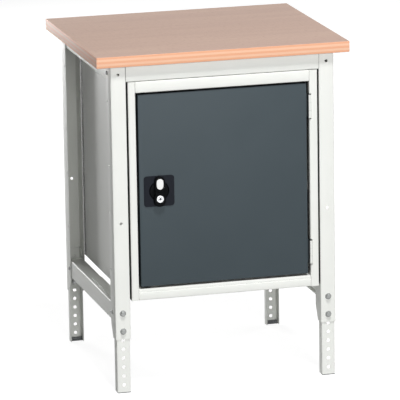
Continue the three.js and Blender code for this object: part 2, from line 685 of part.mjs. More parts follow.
// Handle planes, counted back from the front of the dish
const handleX = doorLeft + HANDLE_FROM_EDGE;
const handleZ = (doorBottom + doorTop) / 2 - HANDLE_BELOW_MIDDLE;
const handleAxis = { x: handleX, z: handleZ };
const dishFront = doorFront - SEAT_GAP - DISH_FLANGE;
const dishFloor = dishFront + DISH_DEPTH;
const gripBack = dishFront - RUNNING_GAP;
const gripFront = gripBack - GRIP_THICKNESS;
const knobBack = gripBack + KNOB_THICKNESS;
const hubBack = dishFloor - RUNNING_GAP;
const spindleHole = SPINDLE_DIAMETER + 2 * RUNNING_GAP;
const squareHole = SPINDLE_SQUARE + 2 * SEAT_GAP;
const cupHole = DISH_CUP + 2 * RUNNING_GAP;
const camFront = doorRear + CAM_TO_DOOR;
const camBack = camFront + CAM_THICKNESS;
const nutFront = camBack + SEAT_GAP;
const nutBack = nutFront + CAM_NUT_HEIGHT;

// A square bar along y on the handle's axis
function squareBar(width, span) {
  return block(
    [handleX - width / 2, handleX + width / 2],
    span,
    [handleZ - width / 2, handleZ + width / 2],
  );
}

// Door: a sheet folded back on all four sides, with a square hole for the handle's dish
function makeDoor() {
  const face = rectangle([doorLeft, doorRight], [doorBottom, doorTop]);
  const slab = extruded(face, 'y', [doorFront, doorRear + DOOR_DEPTH], DOOR_EDGE_EASE);
  const behind = block(
    [doorLeft - OVERRUN, doorRight + OVERRUN],
    [doorRear, doorRear + DOOR_DEPTH + OVERRUN],
    [doorBottom - OVERRUN, doorTop + OVERRUN],
  );
  const hollow = block(
    [doorLeft + DOOR_SHEET, doorRight - DOOR_SHEET],
    [doorFront + DOOR_SHEET, doorRear + OVERRUN],
    [doorBottom + DOOR_SHEET, doorTop - DOOR_SHEET],
  );
  const outline = roundedRectangle([handleX, handleZ], cupHole, cupHole, DISH_CUP_CORNER);
  const hole = extruded(outline, 'y', [doorFront - OVERRUN, doorFront + DOOR_SHEET + OVERRUN]);
  place('door_panel', slab.subtract(behind).subtract(hollow).subtract(hole), ANTHRACITE);
}

// Stiffener: a hat section welded up the middle of the door
function makeStiffener() {
  const middle = (doorLeft + doorRight) / 2;
  const base = doorFront + DOOR_SHEET + SEAT_GAP;
  const crown = base + STIFFENER_DEPTH;
  const inner = STIFFENER_CROWN / 2;
  const outer = inner + STIFFENER_FLANGE;
  const path = [
    [middle - outer, base],
    [middle - inner, base],
    [middle - inner, crown],
    [middle + inner, crown],
    [middle + inner, base],
    [middle + outer, base],
  ];
  const span = [doorBottom + STIFFENER_END_GAP, doorTop - STIFFENER_END_GAP];
  const stiffener = extruded(foldedSheet(path, DOOR_SHEET, CABINET_BEND), 'z', span);
  place('door_stiffener', stiffener, ANTHRACITE);
}

// Hinges: three knuckles on a pin, with one leaf behind the stile and a cranked one on the door's edge
function makeHinges() {
  const axis = { x: hingeX, y: hingeY };
  const bore = HINGE_PIN + 2 * SEAT_GAP;
  const swept = HINGE_BARREL + 2 * RUNNING_GAP;
  for (const [level, height] of Object.entries(hingeHeights)) {
    const bottom = height - HINGE_LENGTH / 2;
    const top = height + HINGE_LENGTH / 2;
    const middle = [bottom + HINGE_END_KNUCKLE, top - HINGE_END_KNUCKLE];
    const whole = [bottom - OVERRUN, top + OVERRUN];
    const boreCut = rod('z', axis, whole, bore);
    const gap = RUNNING_GAP / 2;
    const doorRoom = rod('z', axis, [middle[0] - gap, middle[1] + gap], swept);
    const framePlate = block(
      [hingeX, cabinetHalf - CABINET_SHEET - LEAF_END_GAP],
      [hingeY + leafReach - HINGE_LEAF, hingeY + leafReach],
      [bottom, top],
    );
    const barrel = rod('z', axis, [bottom, top], HINGE_BARREL);
    const frameLeaf = barrel.add(framePlate).subtract(doorRoom).subtract(boreCut);
    place(`hinge_frame_leaf_${level}`, frameLeaf, LIGHT_GREY);

    const lowerRoom = rod('z', axis, [bottom - OVERRUN, middle[0] + gap], swept);
    const upperRoom = rod('z', axis, [middle[1] - gap, top + OVERRUN], swept);
    const doorPlate = block(
      [hingeX - leafReach, hingeX - leafReach + HINGE_LEAF],
      [hingeY, doorRear - LEAF_END_GAP],
      [bottom, top],
    );
    const crank = block(
      [doorRight + SEAT_GAP, hingeX - leafReach + HINGE_LEAF / 2],
      [doorRear - LEAF_END_GAP - HINGE_CRANK_FOOT, doorRear - LEAF_END_GAP],
      [bottom, top],
    );
    const doorLeaf = barrel.add(doorPlate).subtract(lowerRoom).subtract(upperRoom).subtract(boreCut);
    place(`hinge_door_leaf_${level}`, doorLeaf.add(crank), LIGHT_GREY);

    const shaft = rod('z', axis, [bottom, top + SEAT_GAP + PIN_HEAD_HEIGHT / 2], HINGE_PIN);
    const headSpan = [top + SEAT_GAP, top + SEAT_GAP + PIN_HEAD_HEIGHT];
    place(`hinge_pin_${level}`, shaft.add(rod('z', axis, headSpan, PIN_HEAD)), ZINC);
  }
}

// Dish: a square moulding with a round recess, let into the door and clamped by a frame behind it
function makeDish() {
  const middle = [handleX, handleZ];
  const rim = extruded(
    roundedRectangle(middle, DISH_SIZE, DISH_SIZE, DISH_CORNER),
    'y',
    [dishFront, dishFront + DISH_FLANGE],
  );
  const cup = extruded(
    roundedRectangle(middle, DISH_CUP, DISH_CUP, DISH_CUP_CORNER),
    'y',
    [dishFront + DISH_FLANGE / 2, dishFloor + DISH_WALL],
  );
  const recess = KNOB_DIAMETER + 2 * DISH_KNOB_GAP;
  const inside = rod('y', handleAxis, [dishFront - OVERRUN, dishFloor], recess, RECESS_SIDES);
  const bore = rod('y', handleAxis, [dishFloor - OVERRUN, dishFloor + DISH_WALL + OVERRUN], spindleHole);
  place('handle_dish', rim.add(cup).subtract(inside).subtract(bore), DARK_DISH);

  const clampFront = doorFront + DOOR_SHEET + SEAT_GAP;
  const clamp = extruded(
    roundedRectangle(middle, CLAMP_SIZE, CLAMP_SIZE, DISH_CORNER),
    'y',
    [clampFront, clampFront + CLAMP_THICKNESS],
  );
  const opening = extruded(
    roundedRectangle(middle, cupHole, cupHole, DISH_CUP_CORNER),
    'y',
    [clampFront - OVERRUN, clampFront + CLAMP_THICKNESS + OVERRUN],
  );
  place('dish_clamp', clamp.subtract(opening), ZINC);
}

// Turning handle: an upright grip on a round knob, with a hub that turns on the dish's floor
function makeHandle() {
  const lockAt = { x: handleX, z: handleZ - LOCK_DROP };
  const lockFront = gripFront - LOCK_PROUD;
  const lockBack = lockFront + LOCK_LENGTH;
  const grip = extruded(
    roundedRectangle([handleX, handleZ], GRIP_WIDTH, GRIP_HEIGHT, GRIP_WIDTH / 2),
    'y',
    [gripFront, gripBack],
    DOOR_EDGE_EASE,
  );
  const knob = rod('y', handleAxis, [gripBack - OVERRUN, knobBack], KNOB_DIAMETER, RECESS_SIDES);
  const hub = rod('y', handleAxis, [knobBack - OVERRUN, hubBack], HUB_DIAMETER);
  const socket = squareBar(squareHole, [hubBack - SPINDLE_TONGUE - SEAT_GAP, hubBack + OVERRUN]);
  const lockBore = rod(
    'y',
    lockAt,
    [gripFront - OVERRUN, lockBack + SEAT_GAP],
    LOCK_DIAMETER + 2 * SEAT_GAP,
  );
  const insertAt = [handleX, handleZ + INSERT_RISE];
  const pocket = extruded(
    roundedRectangle(
      insertAt,
      INSERT_WIDTH + 2 * SEAT_GAP,
      INSERT_HEIGHT + 2 * SEAT_GAP,
      INSERT_WIDTH / 2 + SEAT_GAP,
    ),
    'y',
    [gripFront - OVERRUN, gripFront + INSERT_SINK + SEAT_GAP],
  );
  const handle = grip.add(knob).add(hub).subtract(socket).subtract(lockBore).subtract(pocket);
  place('turn_handle', handle, BLACK);

  const insert = extruded(
    roundedRectangle(insertAt, INSERT_WIDTH, INSERT_HEIGHT, INSERT_WIDTH / 2),
    'y',
    [gripFront - INSERT_PROUD, gripFront + INSERT_SINK],
  );
  place('handle_insert', insert, PALE_INSERT);

  const plugBack = lockBack - LOCK_FLOOR - SEAT_GAP;
  const barrel = rod('y', lockAt, [lockFront, lockBack], LOCK_DIAMETER);
  const plugBore = rod(
    'y',
    lockAt,
    [lockFront - OVERRUN, plugBack + SEAT_GAP],
    PLUG_DIAMETER + 2 * RUNNING_GAP,
  );
  place('lock_barrel', barrel.subtract(plugBore), CHROME);

  const plug = rod('y', lockAt, [lockFront, plugBack], PLUG_DIAMETER);
  const keyhole = block(
    [lockAt.x - KEYHOLE_WIDTH / 2, lockAt.x + KEYHOLE_WIDTH / 2],
    [lockFront - OVERRUN, lockFront + KEYHOLE_DEPTH],
    [lockAt.z - KEYHOLE_HEIGHT / 2, lockAt.z + KEYHOLE_HEIGHT / 2],
  );
  place('lock_plug', plug.subtract(keyhole), CHROME);
}

// Spindle from the handle through the dish to the latch cam, which hangs down when unlatched
function makeLatch() {
  const shoulder = rod('y', handleAxis, [hubBack + SEAT_GAP, camFront - SEAT_GAP], SPINDLE_DIAMETER);
  const tongue = squareBar(SPINDLE_SQUARE, [hubBack - SPINDLE_TONGUE, hubBack + OVERRUN]);
  const camSeat = squareBar(SPINDLE_SQUARE, [camFront - OVERRUN, camBack - SEAT_GAP]);
  const thread = rod('y', handleAxis, [camFront, nutBack + OVERRUN], SPINDLE_THREAD);
  place('handle_spindle', shoulder.add(tongue).add(camSeat).add(thread), ZINC);

  const camReach = handleX - (openLeft - CABINET_SHEET - SEAT_GAP) + CAM_OVERLAP;
  const camLength = camReach + CAM_WIDTH / 2;
  const outline = roundedRectangle(
    [handleX, handleZ + CAM_WIDTH / 2 - camLength / 2],
    CAM_WIDTH,
    camLength,
    CAM_WIDTH / 2,
  );
  const cam = extruded(outline, 'y', [camFront, camBack]);
  const camHole = squareBar(squareHole, [camFront - OVERRUN, camBack + OVERRUN]);
  place('latch_cam', cam.subtract(camHole), ZINC);

  const nut = rod('y', handleAxis, [nutFront, nutBack], CAM_NUT_HEX, HEX_SIDES);
  const nutBore = rod(
    'y',
    handleAxis,
    [nutFront - OVERRUN, nutBack + OVERRUN],
    SPINDLE_THREAD + 2 * SEAT_GAP,
  );
  place('cam_nut', nut.subtract(nutBore), ZINC);
}

// Strike plate: an angle welded inside the left stile, which the cam turns behind
function makeStrike() {
  const wall = openLeft - CABINET_SHEET - SEAT_GAP;
  const front = cabinetFront + CABINET_SHEET + CABINET_BEND + SEAT_GAP;
  const rear = camFront - CAM_TO_STRIKE;
  const path = [[wall, front], [wall, rear], [wall - STRIKE_LEDGE, rear]];
  const outline = foldedSheet(path, STRIKE_SHEET, STRIKE_BEND);
  const span = [handleZ - STRIKE_LENGTH / 2, handleZ + STRIKE_LENGTH / 2];
  place('strike_plate', extruded(outline, 'z', span), ZINC);
}

// Rubber buffers behind the door's free edge, one under the head and one on the floor
function makeBuffers() {
  const x = [doorLeft + BUFFER_INSET, doorLeft + BUFFER_INSET + BUFFER_WIDTH];
  const y = [doorRear + RUNNING_GAP, doorRear + RUNNING_GAP + BUFFER_THICKNESS];
  const upper = [openTop - SEAT_GAP - BUFFER_HEIGHT, openTop - SEAT_GAP];
  const lower = [floorTop + SEAT_GAP, floorTop + SEAT_GAP + BUFFER_HEIGHT];
  for (const [level, z] of [['upper', upper], ['lower', lower]]) {
    place(`door_buffer_${level}`, block(x, y, z), RUBBER);
  }
}

makeWorktop();
for (const corner of corners) {
  makeUpright(corner);
  makeLowerLeg(corner);
  makeFoot(corner);
  makeLegBolts(corner);
}
makeSideRails();
makeCrossRails();
makeSupports();
makeCabinetSides();
makeCabinetTop();
makeCabinetFloor();
makePlinth();
makeCabinetBack();
makeShelf();
makeDoor();
makeStiffener();
makeHinges();
makeDish();
makeHandle();
makeLatch();
makeStrike();
makeBuffers();

export default bench;
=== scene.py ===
import json
import math

import bmesh
import bpy
from mathutils import Matrix, Vector

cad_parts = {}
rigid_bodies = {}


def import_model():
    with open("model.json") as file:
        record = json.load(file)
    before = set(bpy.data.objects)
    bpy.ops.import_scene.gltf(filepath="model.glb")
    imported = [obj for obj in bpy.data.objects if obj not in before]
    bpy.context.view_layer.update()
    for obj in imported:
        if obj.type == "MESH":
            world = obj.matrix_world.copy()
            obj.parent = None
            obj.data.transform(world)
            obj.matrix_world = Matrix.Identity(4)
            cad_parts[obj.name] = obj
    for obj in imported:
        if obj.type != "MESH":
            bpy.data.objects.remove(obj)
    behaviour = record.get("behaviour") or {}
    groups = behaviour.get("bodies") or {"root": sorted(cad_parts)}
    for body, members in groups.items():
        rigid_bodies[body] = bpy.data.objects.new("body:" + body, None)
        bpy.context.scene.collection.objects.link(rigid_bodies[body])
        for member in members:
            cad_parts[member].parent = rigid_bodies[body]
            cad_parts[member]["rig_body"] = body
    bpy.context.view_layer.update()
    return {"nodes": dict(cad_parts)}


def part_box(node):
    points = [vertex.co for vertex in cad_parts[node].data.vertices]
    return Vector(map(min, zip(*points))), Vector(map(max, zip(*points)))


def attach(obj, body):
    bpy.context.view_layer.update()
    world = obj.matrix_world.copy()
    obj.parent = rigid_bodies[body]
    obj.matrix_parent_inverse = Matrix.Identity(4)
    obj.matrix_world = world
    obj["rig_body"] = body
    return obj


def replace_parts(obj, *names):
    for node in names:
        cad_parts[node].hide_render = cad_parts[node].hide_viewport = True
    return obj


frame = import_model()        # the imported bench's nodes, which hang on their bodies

scene = bpy.context.scene

# Uprights
# Four channels of 2 mm steel, punched, folded and powder coated light grey.
# Their webs face the front and the rear, and the rails are screwed to their flanges.
MM = 0.001
MERGE_DISTANCE = 0.005 * MM
FLAT_ANGLE = math.radians(0.5)
FOLD_ANGLE = math.radians(35)  # folds turn by less than this from facet to facet, cut edges by more
FRAME_EDGE = 0.4 * MM
EDGE_SEGMENTS = 2
MIXED_COLOUR = 2  # place of the colour among a Mix node's outputs
SHADE_REACH = 20 * MM  # slots and gaps narrower than about half of this get painted shade
SHADE_SAMPLES = 8
CORNERS = ["front_left", "front_right", "rear_left", "rear_right"]


def linear(colour):
    """An sRGB hex colour as linear red, green, blue and alpha."""
    channels = [int(colour[i:i + 2], 16) / 255 for i in (1, 3, 5)]
    return [c / 12.92 if c <= 0.04045 else ((c + 0.055) / 1.055) ** 2.4 for c in channels] + [1.0]


def add_node(tree, kind, inputs=None, **settings):
    """Adds a node with its settings; each input is a value or a socket to link."""
    node = tree.nodes.new(kind)
    for name, value in settings.items():
        setattr(node, name, value)
    for key, value in (inputs or {}).items():
        socket = next(s for s in node.inputs if key in (s.identifier, s.name))
        if isinstance(value, bpy.types.NodeSocket):
            tree.links.new(value, socket)
        else:
            socket.default_value = value
    return node


def new_finish(name):
    """An empty node material, its tree, and its Object coordinates in metres."""
    material = bpy.data.materials.new(name)
    material.use_nodes = True
    material.node_tree.nodes.clear()
    place = add_node(material.node_tree, "ShaderNodeTexCoord").outputs["Object"]
    return material, material.node_tree, place


def end_finish(tree, inputs):
    """Ends a material in a Principled shader with these inputs."""
    shader = add_node(tree, "ShaderNodeBsdfPrincipled", inputs)
    add_node(tree, "ShaderNodeOutputMaterial", {"Surface": shader.outputs["BSDF"]})


def painted_slot_shade(tree, colour):
    """A coat's colour, going near black in slots, holes and narrow gaps where the ambient occlusion is
    low: painted shade.
    """
    openness = add_node(tree, "ShaderNodeAmbientOcclusion", {
        "Distance": SHADE_REACH,
    }, samples=SHADE_SAMPLES)
    unshaded = add_node(tree, "ShaderNodeMapRange", {
        "Value": openness.outputs["AO"],
        "From Min": 0.15,
        "From Max": 0.5,
    })
    coat = add_node(tree, "ShaderNodeMix", {
        "Factor_Float": unshaded.outputs["Result"],
        # near black of the painted shade
        "A_Color": linear("#101112"),
        "B_Color": colour,
    }, data_type="RGBA")
    return coat.outputs[MIXED_COLOUR]


def light_grey_powder_coat():
    # Polyester powder baked on steel: an even satin with faint clouds and a fine orange peel.
    # The clouds are about 120 mm across. The peel is about 1 mm, drawn at 3 mm so that it shows.
    material, tree, place = new_finish("light_grey_powder_coat")
    cloud = add_node(tree, "ShaderNodeTexNoise", {
        "Vector": place,
        "Scale": 1 / (120 * MM),
        "Detail": 3.0,
    })
    colour = add_node(tree, "ShaderNodeMix", {
        "Factor_Float": cloud.outputs["Fac"],
        "A_Color": linear("#E8EAE5"),
        "B_Color": linear("#F0F1ED"),
    }, data_type="RGBA")
    peel = add_node(tree, "ShaderNodeTexNoise", {
        "Vector": place,
        "Scale": 1 / (3 * MM),
        "Detail": 2.0,
    })
    satin = add_node(tree, "ShaderNodeMapRange", {
        "Value": peel.outputs["Fac"],
        "To Min": 0.42,
        "To Max": 0.52,
    })
    bump = add_node(tree, "ShaderNodeBump", {
        "Height": peel.outputs["Fac"],
        "Strength": 0.2,
        "Distance": 0.05 * MM,
    })
    end_finish(tree, {
        # the coat's colour with painted shade in slots and gaps
        "Base Color": painted_slot_shade(tree, colour.outputs[MIXED_COLOUR]),
        "Roughness": satin.outputs["Result"],
        "Normal": bump.outputs["Normal"],
        "Specular IOR Level": 0.15,
        "IOR": 1.5,
    })
    return material


def show(piece, body):
    """Puts a finished piece in the scene, on its body."""
    scene.collection.objects.link(piece)
    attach(piece, body)
    return piece


def round_edges(piece, width, segments=EDGE_SEGMENTS):
    """Rounds the cut edges of a piece and shades its folds and round faces smooth."""
    piece.data.shade_smooth()
    rounding = piece.modifiers.new("rounded_edges", "BEVEL")
    rounding.width = width
    rounding.segments = segments
    rounding.limit_method = "ANGLE"
    rounding.angle_limit = FOLD_ANGLE
    rounding.harden_normals = True
    return piece


def finished(node, finish, edge):
    """A copy of a node with its triangles merged to whole faces and its edges rounded."""
    shape = bmesh.new()
    shape.from_mesh(frame["nodes"][node].data)
    bmesh.ops.remove_doubles(shape, verts=shape.verts, dist=MERGE_DISTANCE)
    bmesh.ops.dissolve_limit(shape, angle_limit=FLAT_ANGLE, verts=shape.verts, edges=shape.edges)
    shape.verts.index_update()
    points = [vertex.co[:] for vertex in shape.verts]
    faces = [[vertex.index for vertex in face.verts] for face in shape.faces]
    shape.free()
    mesh = bpy.data.meshes.new(f"{node}_finished")
    mesh.from_pydata(points, [], faces)
    mesh.materials.append(finish)
    piece = round_edges(bpy.data.objects.new(mesh.name, mesh), edge)
    show(piece, frame["nodes"][node]["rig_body"])
    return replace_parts(piece, node)


grey_coat = light_grey_powder_coat()
for corner in CORNERS:
    finished(f"upright_{corner}", grey_coat, FRAME_EDGE)

# Lower legs
# Narrower channels of the same coated steel, which slide in the uprights.
# A row of punched holes, 25 mm apart, sets the height of the bench.
for corner in CORNERS:
    finished(f"lower_leg_{corner}", grey_coat, FRAME_EDGE)

# Feet
# Black nylon glides, injection moulded and pushed into the ends of the lower legs.
# They keep the steel off the floor, which has rubbed them grey.
FOOT_EDGE = 0.3 * MM


def mottled(tree, pattern, colours, roughness):
    """A colour and a roughness that both go from a first value to a second with a pattern."""
    colour = add_node(tree, "ShaderNodeMix", {
        "Factor_Float": pattern,
        "A_Color": linear(colours[0]),
        "B_Color": linear(colours[1]),
    }, data_type="RGBA")
    rough = add_node(tree, "ShaderNodeMapRange", {
        "Value": pattern,
        "To Min": roughness[0],
        "To Max": roughness[1],
    })
    return colour.outputs[MIXED_COLOUR], rough.outputs["Result"]


def scuffed_nylon():
    # Moulded polyamide, rubbed grey by the floor and dusty in patches.
    # The scuffs are about 3 mm across.
    material, tree, place = new_finish("scuffed_nylon")
    scuffs = add_node(tree, "ShaderNodeTexNoise", {
        "Vector": place,
        "Scale": 1 / (3 * MM),
        "Detail": 3.0,
    })
    worn = add_node(tree, "ShaderNodeMapRange", {
        "Value": scuffs.outputs["Fac"],
        "From Min": 0.35,
        "From Max": 0.65,
    })
    colour, dull = mottled(tree, worn.outputs["Result"], ("#404244", "#8C8F91"), (0.5, 0.8))
    end_finish(tree, {
        "Base Color": colour,
        "Roughness": dull,
        "Specular IOR Level": 0.1,
        "IOR": 1.53,
    })
    return material


glide_nylon = scuffed_nylon()
for corner in CORNERS:
    finished(f"foot_{corner}", glide_nylon, FOOT_EDGE)

# Leg bolts
# Zinc-plated M8 flange bolts, two through each upright and leg, with a nut inside the channel.
# They are cold headed, rolled and plated, so their edges are soft and their faces satin bright.
BOLT_SIZES = {  # starts are measured outwards from the head's seat, and lie inside another stage
    "Flange radius": 8.9 * MM,
    "Flange top radius": 8.1 * MM,
    "Flange height": 1.6 * MM,
    "Hexagon radius": 7.2 * MM,
    "Hexagon start": 1.3 * MM,
    "Hexagon height": 3.8 * MM,
    "Chamfer radius": 6.2 * MM,
    "Chamfer height": 1.0 * MM,
    "Shank radius": 4.0 * MM,
    "Shank start": -13.7 * MM,
    "Shank length": 14.0 * MM,
    "Nut start": -10.9 * MM,
    "Nut height": 6.5 * MM,
}
ROUND_SIDES = 40
HEXAGON = 6
FASTENER_EDGE = 0.25 * MM


def zinc_plating():
    # Bright zinc under a clear passivate: a satin metal with a faint cool bloom.
    # The bloom's patches are about 2 mm across.
    material, tree, place = new_finish("zinc_plating")
    bloom = add_node(tree, "ShaderNodeTexNoise", {
        "Vector": place,
        "Scale": 1 / (2 * MM),
        "Detail": 3.0,
    })
    colour, satin = mottled(tree, bloom.outputs["Fac"], ("#7E8080", "#979997"), (0.32, 0.46))
    end_finish(tree, {
        "Base Color": colour,
        "Roughness": satin,
        "Metallic": 1.0,
    })
    return material


def hardware_tree(name, sizes):
    """A Geometry Nodes tree with a mesh of places in, a mesh out and a named input for each size."""
    tree = bpy.data.node_groups.new(name, "GeometryNodeTree")
    tree.interface.new_socket("Geometry", in_out="INPUT", socket_type="NodeSocketGeometry")
    tree.interface.new_socket("Geometry", in_out="OUTPUT", socket_type="NodeSocketGeometry")
    for size in sizes:
        tree.interface.new_socket(size, in_out="INPUT", socket_type="NodeSocketFloat")
    return tree, add_node(tree, "NodeGroupInput").outputs


def stage(tree, sides, bottom, top, start, height):
    """A round or hexagonal stage along a fastener's axis, and where the next stage follows."""
    cone = add_node(tree, "GeometryNodeMeshCone", {
        "Vertices": sides,
        "Radius Bottom": bottom,
        "Radius Top": top,
        "Depth": height,
    })
    lift = add_node(tree, "ShaderNodeCombineXYZ", {"Z": start})
    moved = add_node(tree, "GeometryNodeTransform", {
        "Geometry": cone.outputs["Mesh"],
        "Translation": lift.outputs["Vector"],
    })
    end = add_node(tree, "ShaderNodeMath", {
        "Value": start,
        "Value_001": height,
    }, operation="ADD")
    return moved.outputs["Geometry"], end.outputs["Value"]


def plant(tree, places, fastener, finish):
    """Ends a tree: the fastener stands on every place, along the place's outward direction."""
    outward = add_node(tree, "GeometryNodeInputNamedAttribute", {
        "Name": "outward",
    }, data_type="FLOAT_VECTOR")
    turn = add_node(tree, "FunctionNodeAlignRotationToVector", {
        "Vector": outward.outputs["Attribute"],
    }, axis="Z")
    copies = add_node(tree, "GeometryNodeInstanceOnPoints", {
        "Points": places,
        "Instance": fastener,
        "Rotation": turn.outputs["Rotation"],
    })
    real = add_node(tree, "GeometryNodeRealizeInstances", {"Geometry": copies.outputs["Instances"]})
    coated = add_node(tree, "GeometryNodeSetMaterial", {
        "Geometry": real.outputs["Geometry"],
        "Material": finish,
    })
    add_node(tree, "NodeGroupOutput", {"Geometry": coated.outputs["Geometry"]})


def flange_bolt_tree(finish):
    """A flange bolt with its nut; the seat of its head is at the place."""
    tree, size = hardware_tree("flange_bolt", BOLT_SIZES)
    flange, _ = stage(tree, ROUND_SIDES, size["Flange radius"], size["Flange top radius"],
                      0.0, size["Flange height"])
    hexagon, hexagon_end = stage(tree, HEXAGON, size["Hexagon radius"], size["Hexagon radius"],
                                 size["Hexagon start"], size["Hexagon height"])
    chamfer, _ = stage(tree, HEXAGON, size["Hexagon radius"], size["Chamfer radius"],
                       hexagon_end, size["Chamfer height"])
    shank, _ = stage(tree, ROUND_SIDES, size["Shank radius"], size["Shank radius"],
                     size["Shank start"], size["Shank length"])
    nut, _ = stage(tree, HEXAGON, size["Hexagon radius"], size["Hexagon radius"],
                   size["Nut start"], size["Nut height"])
    whole = add_node(tree, "GeometryNodeMeshBoolean", operation="UNION")
    for part in (flange, hexagon, chamfer, shank, nut):
        tree.links.new(part, whole.inputs["Mesh 2"])
    plant(tree, size["Geometry"], whole.outputs["Mesh"], finish)
    return tree


def fastened(name, tree, sizes, places):
    """A plain mesh of one tree's fasteners on the frame, at (point, outward direction) pairs."""
    mesh = bpy.data.meshes.new(f"{name}_places")
    mesh.from_pydata([point for point, outward in places], [], [])
    directions = mesh.attributes.new("outward", "FLOAT_VECTOR", "POINT")
    for row, (point, outward) in zip(directions.data, places):
        row.vector = outward
    piece = bpy.data.objects.new(name, mesh)
    scene.collection.objects.link(piece)
    planting = piece.modifiers.new("planting", "NODES")
    planting.node_group = tree
    for item in tree.interface.items_tree:
        if item.name in sizes:
            planting[item.identifier] = sizes[item.name]
    graph = bpy.context.evaluated_depsgraph_get()
    piece.data = bpy.data.meshes.new_from_object(piece.evaluated_get(graph), depsgraph=graph)
    piece.modifiers.remove(planting)
    scene.collection.objects.unlink(piece)
    return show(round_edges(piece, FASTENER_EDGE), "frame")


zinc = zinc_plating()
bolt_nodes = [f"leg_bolt_{corner}_{level}" for corner in CORNERS for level in ("lower", "upper")]
bolt_places = []
for node in bolt_nodes:
    low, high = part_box(node)
    middle = (low + high) / 2
    front = middle.y < 0
    web_low, web_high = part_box("upright_front_left" if front else "upright_rear_left")
    seat = web_low.y if front else web_high.y
    bolt_places.append(((middle.x, seat, middle.z), (0, -1 if front else 1, 0)))
leg_bolts = fastened("leg_bolts", flange_bolt_tree(zinc), BOLT_SIZES, bolt_places)
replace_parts(leg_bolts, *bolt_nodes)

# Rails
# Folded channels of coated 2 mm steel: four along the sides, one across the front, one across the rear.
# Their ends are screwed to the uprights' flanges.
SIDE_RAILS = [f"side_rail_{level}_{hand}" for level in ("upper", "lower") for hand in ("left", "right")]
CROSS_RAILS = ["front_rail", "rear_rail"]
for node in SIDE_RAILS + CROSS_RAILS:
    finished(node, grey_coat, FRAME_EDGE)

# Rail screws
# Zinc-plated M6 button-head screws with hexagon nuts, cold headed like the bolts.
# One goes through an upright's flange into each end of every rail, with its nut inside the rail.
SCREW_SIZES = {
    "Rim radius": 5.25 * MM,
    "Rim height": 1.0 * MM,
    "Shoulder radius": 4.4 * MM,
    "Shoulder height": 1.5 * MM,
    "Crown radius": 2.9 * MM,
    "Crown height": 0.8 * MM,
    "Socket radius": 2.3 * MM,
    "Socket start": 1.3 * MM,
    "Socket depth": 2.3 * MM,
    "Shank radius": 3.0 * MM,
    "Shank start": -10.7 * MM,
    "Shank length": 11.0 * MM,
}
NUT_SIZES = {
    "Nut radius": 5.7 * MM,
    "Nut start": -9.3 * MM,
    "Nut height": 5.0 * MM,
}
FLANGE_HOLE_SETBACK = 38 * MM  # from an upright's web to the holes in its flanges
FRAME_SHEET = 2 * MM


def button_screw_tree(name, sizes, finish):
    """A button-head socket screw, with a nut if the sizes name one; its seat is at the place."""
    tree, size = hardware_tree(name, sizes)
    rim, rim_end = stage(tree, ROUND_SIDES, size["Rim radius"], size["Rim radius"],
                         0.0, size["Rim height"])
    shoulder, shoulder_end = stage(tree, ROUND_SIDES, size["Rim radius"], size["Shoulder radius"],
                                   rim_end, size["Shoulder height"])
    crown, _ = stage(tree, ROUND_SIDES, size["Shoulder radius"], size["Crown radius"],
                     shoulder_end, size["Crown height"])
    shank, _ = stage(tree, ROUND_SIDES, size["Shank radius"], size["Shank radius"],
                     size["Shank start"], size["Shank length"])
    parts = [rim, shoulder, crown, shank]
    if "Nut radius" in sizes:
        nut, _ = stage(tree, HEXAGON, size["Nut radius"], size["Nut radius"],
                       size["Nut start"], size["Nut height"])
        parts.append(nut)
    solid = add_node(tree, "GeometryNodeMeshBoolean", operation="UNION")
    for part in parts:
        tree.links.new(part, solid.inputs["Mesh 2"])
    socket, _ = stage(tree, HEXAGON, size["Socket radius"], size["Socket radius"],
                      size["Socket start"], size["Socket depth"])
    whole = add_node(tree, "GeometryNodeMeshBoolean", {
        "Mesh 1": solid.outputs["Mesh"],
        "Mesh 2": socket,
    }, operation="DIFFERENCE")
    plant(tree, size["Geometry"], whole.outputs["Mesh"], finish)
    return tree


RAIL_SCREW_SIZES = {**SCREW_SIZES, **NUT_SIZES}
front_left_low, front_left_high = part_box("upright_front_left")
_, rear_right_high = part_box("upright_rear_right")
outer_flange = rear_right_high.x
inner_flange = -front_left_high.x + FRAME_SHEET
screw_rows = [front_left_low.y + FLANGE_HOLE_SETBACK, rear_right_high.y - FLANGE_HOLE_SETBACK]
screw_places = []
for node in SIDE_RAILS:
    low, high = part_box(node)
    side = math.copysign(1, low.x)
    for row in screw_rows:
        screw_places.append(((side * outer_flange, row, (low.z + high.z) / 2), (side, 0, 0)))
for node, row in zip(CROSS_RAILS, screw_rows):
    low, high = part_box(node)
    for side in (-1, 1):
        screw_places.append(((side * inner_flange, row, (low.z + high.z) / 2), (side, 0, 0)))
rail_screw_tree = button_screw_tree("rail_screw", RAIL_SCREW_SIZES, zinc)
fastened("rail_screws", rail_screw_tree, RAIL_SCREW_SIZES, screw_places)

# Supports
# Two strips of folded and coated steel, which lie on the lower rails.
# A raised ledge at the front of each carries a side of the cupboard.
for hand in ("left", "right"):
    finished(f"cabinet_support_{hand}", grey_coat, FRAME_EDGE)

# Cupboard
# A carcass of folded 1.5 mm steel, spot welded and coated in the same light grey as the frame.
# The stiles, the head and the sill are folded from the panels; the back is let in from behind.
CABINET_EDGE = 0.3 * MM
for part in ("side_left", "side_right", "top", "floor", "plinth", "back"):
    finished(f"cabinet_{part}", grey_coat, CABINET_EDGE)

# Shelf
# A coated steel sheet with lips folded down at its edges.
# It lies loose on two angles, which are welded to the cupboard's sides.
for node in ("shelf", "shelf_bearer_left", "shelf_bearer_right"):
    finished(node, grey_coat, CABINET_EDGE)

# Door
# A tray of folded 1.5 mm steel with a hat-section stiffener welded up its middle.
# It is powder coated in anthracite with a fine texture.
DOOR_EDGE = 0.5 * MM


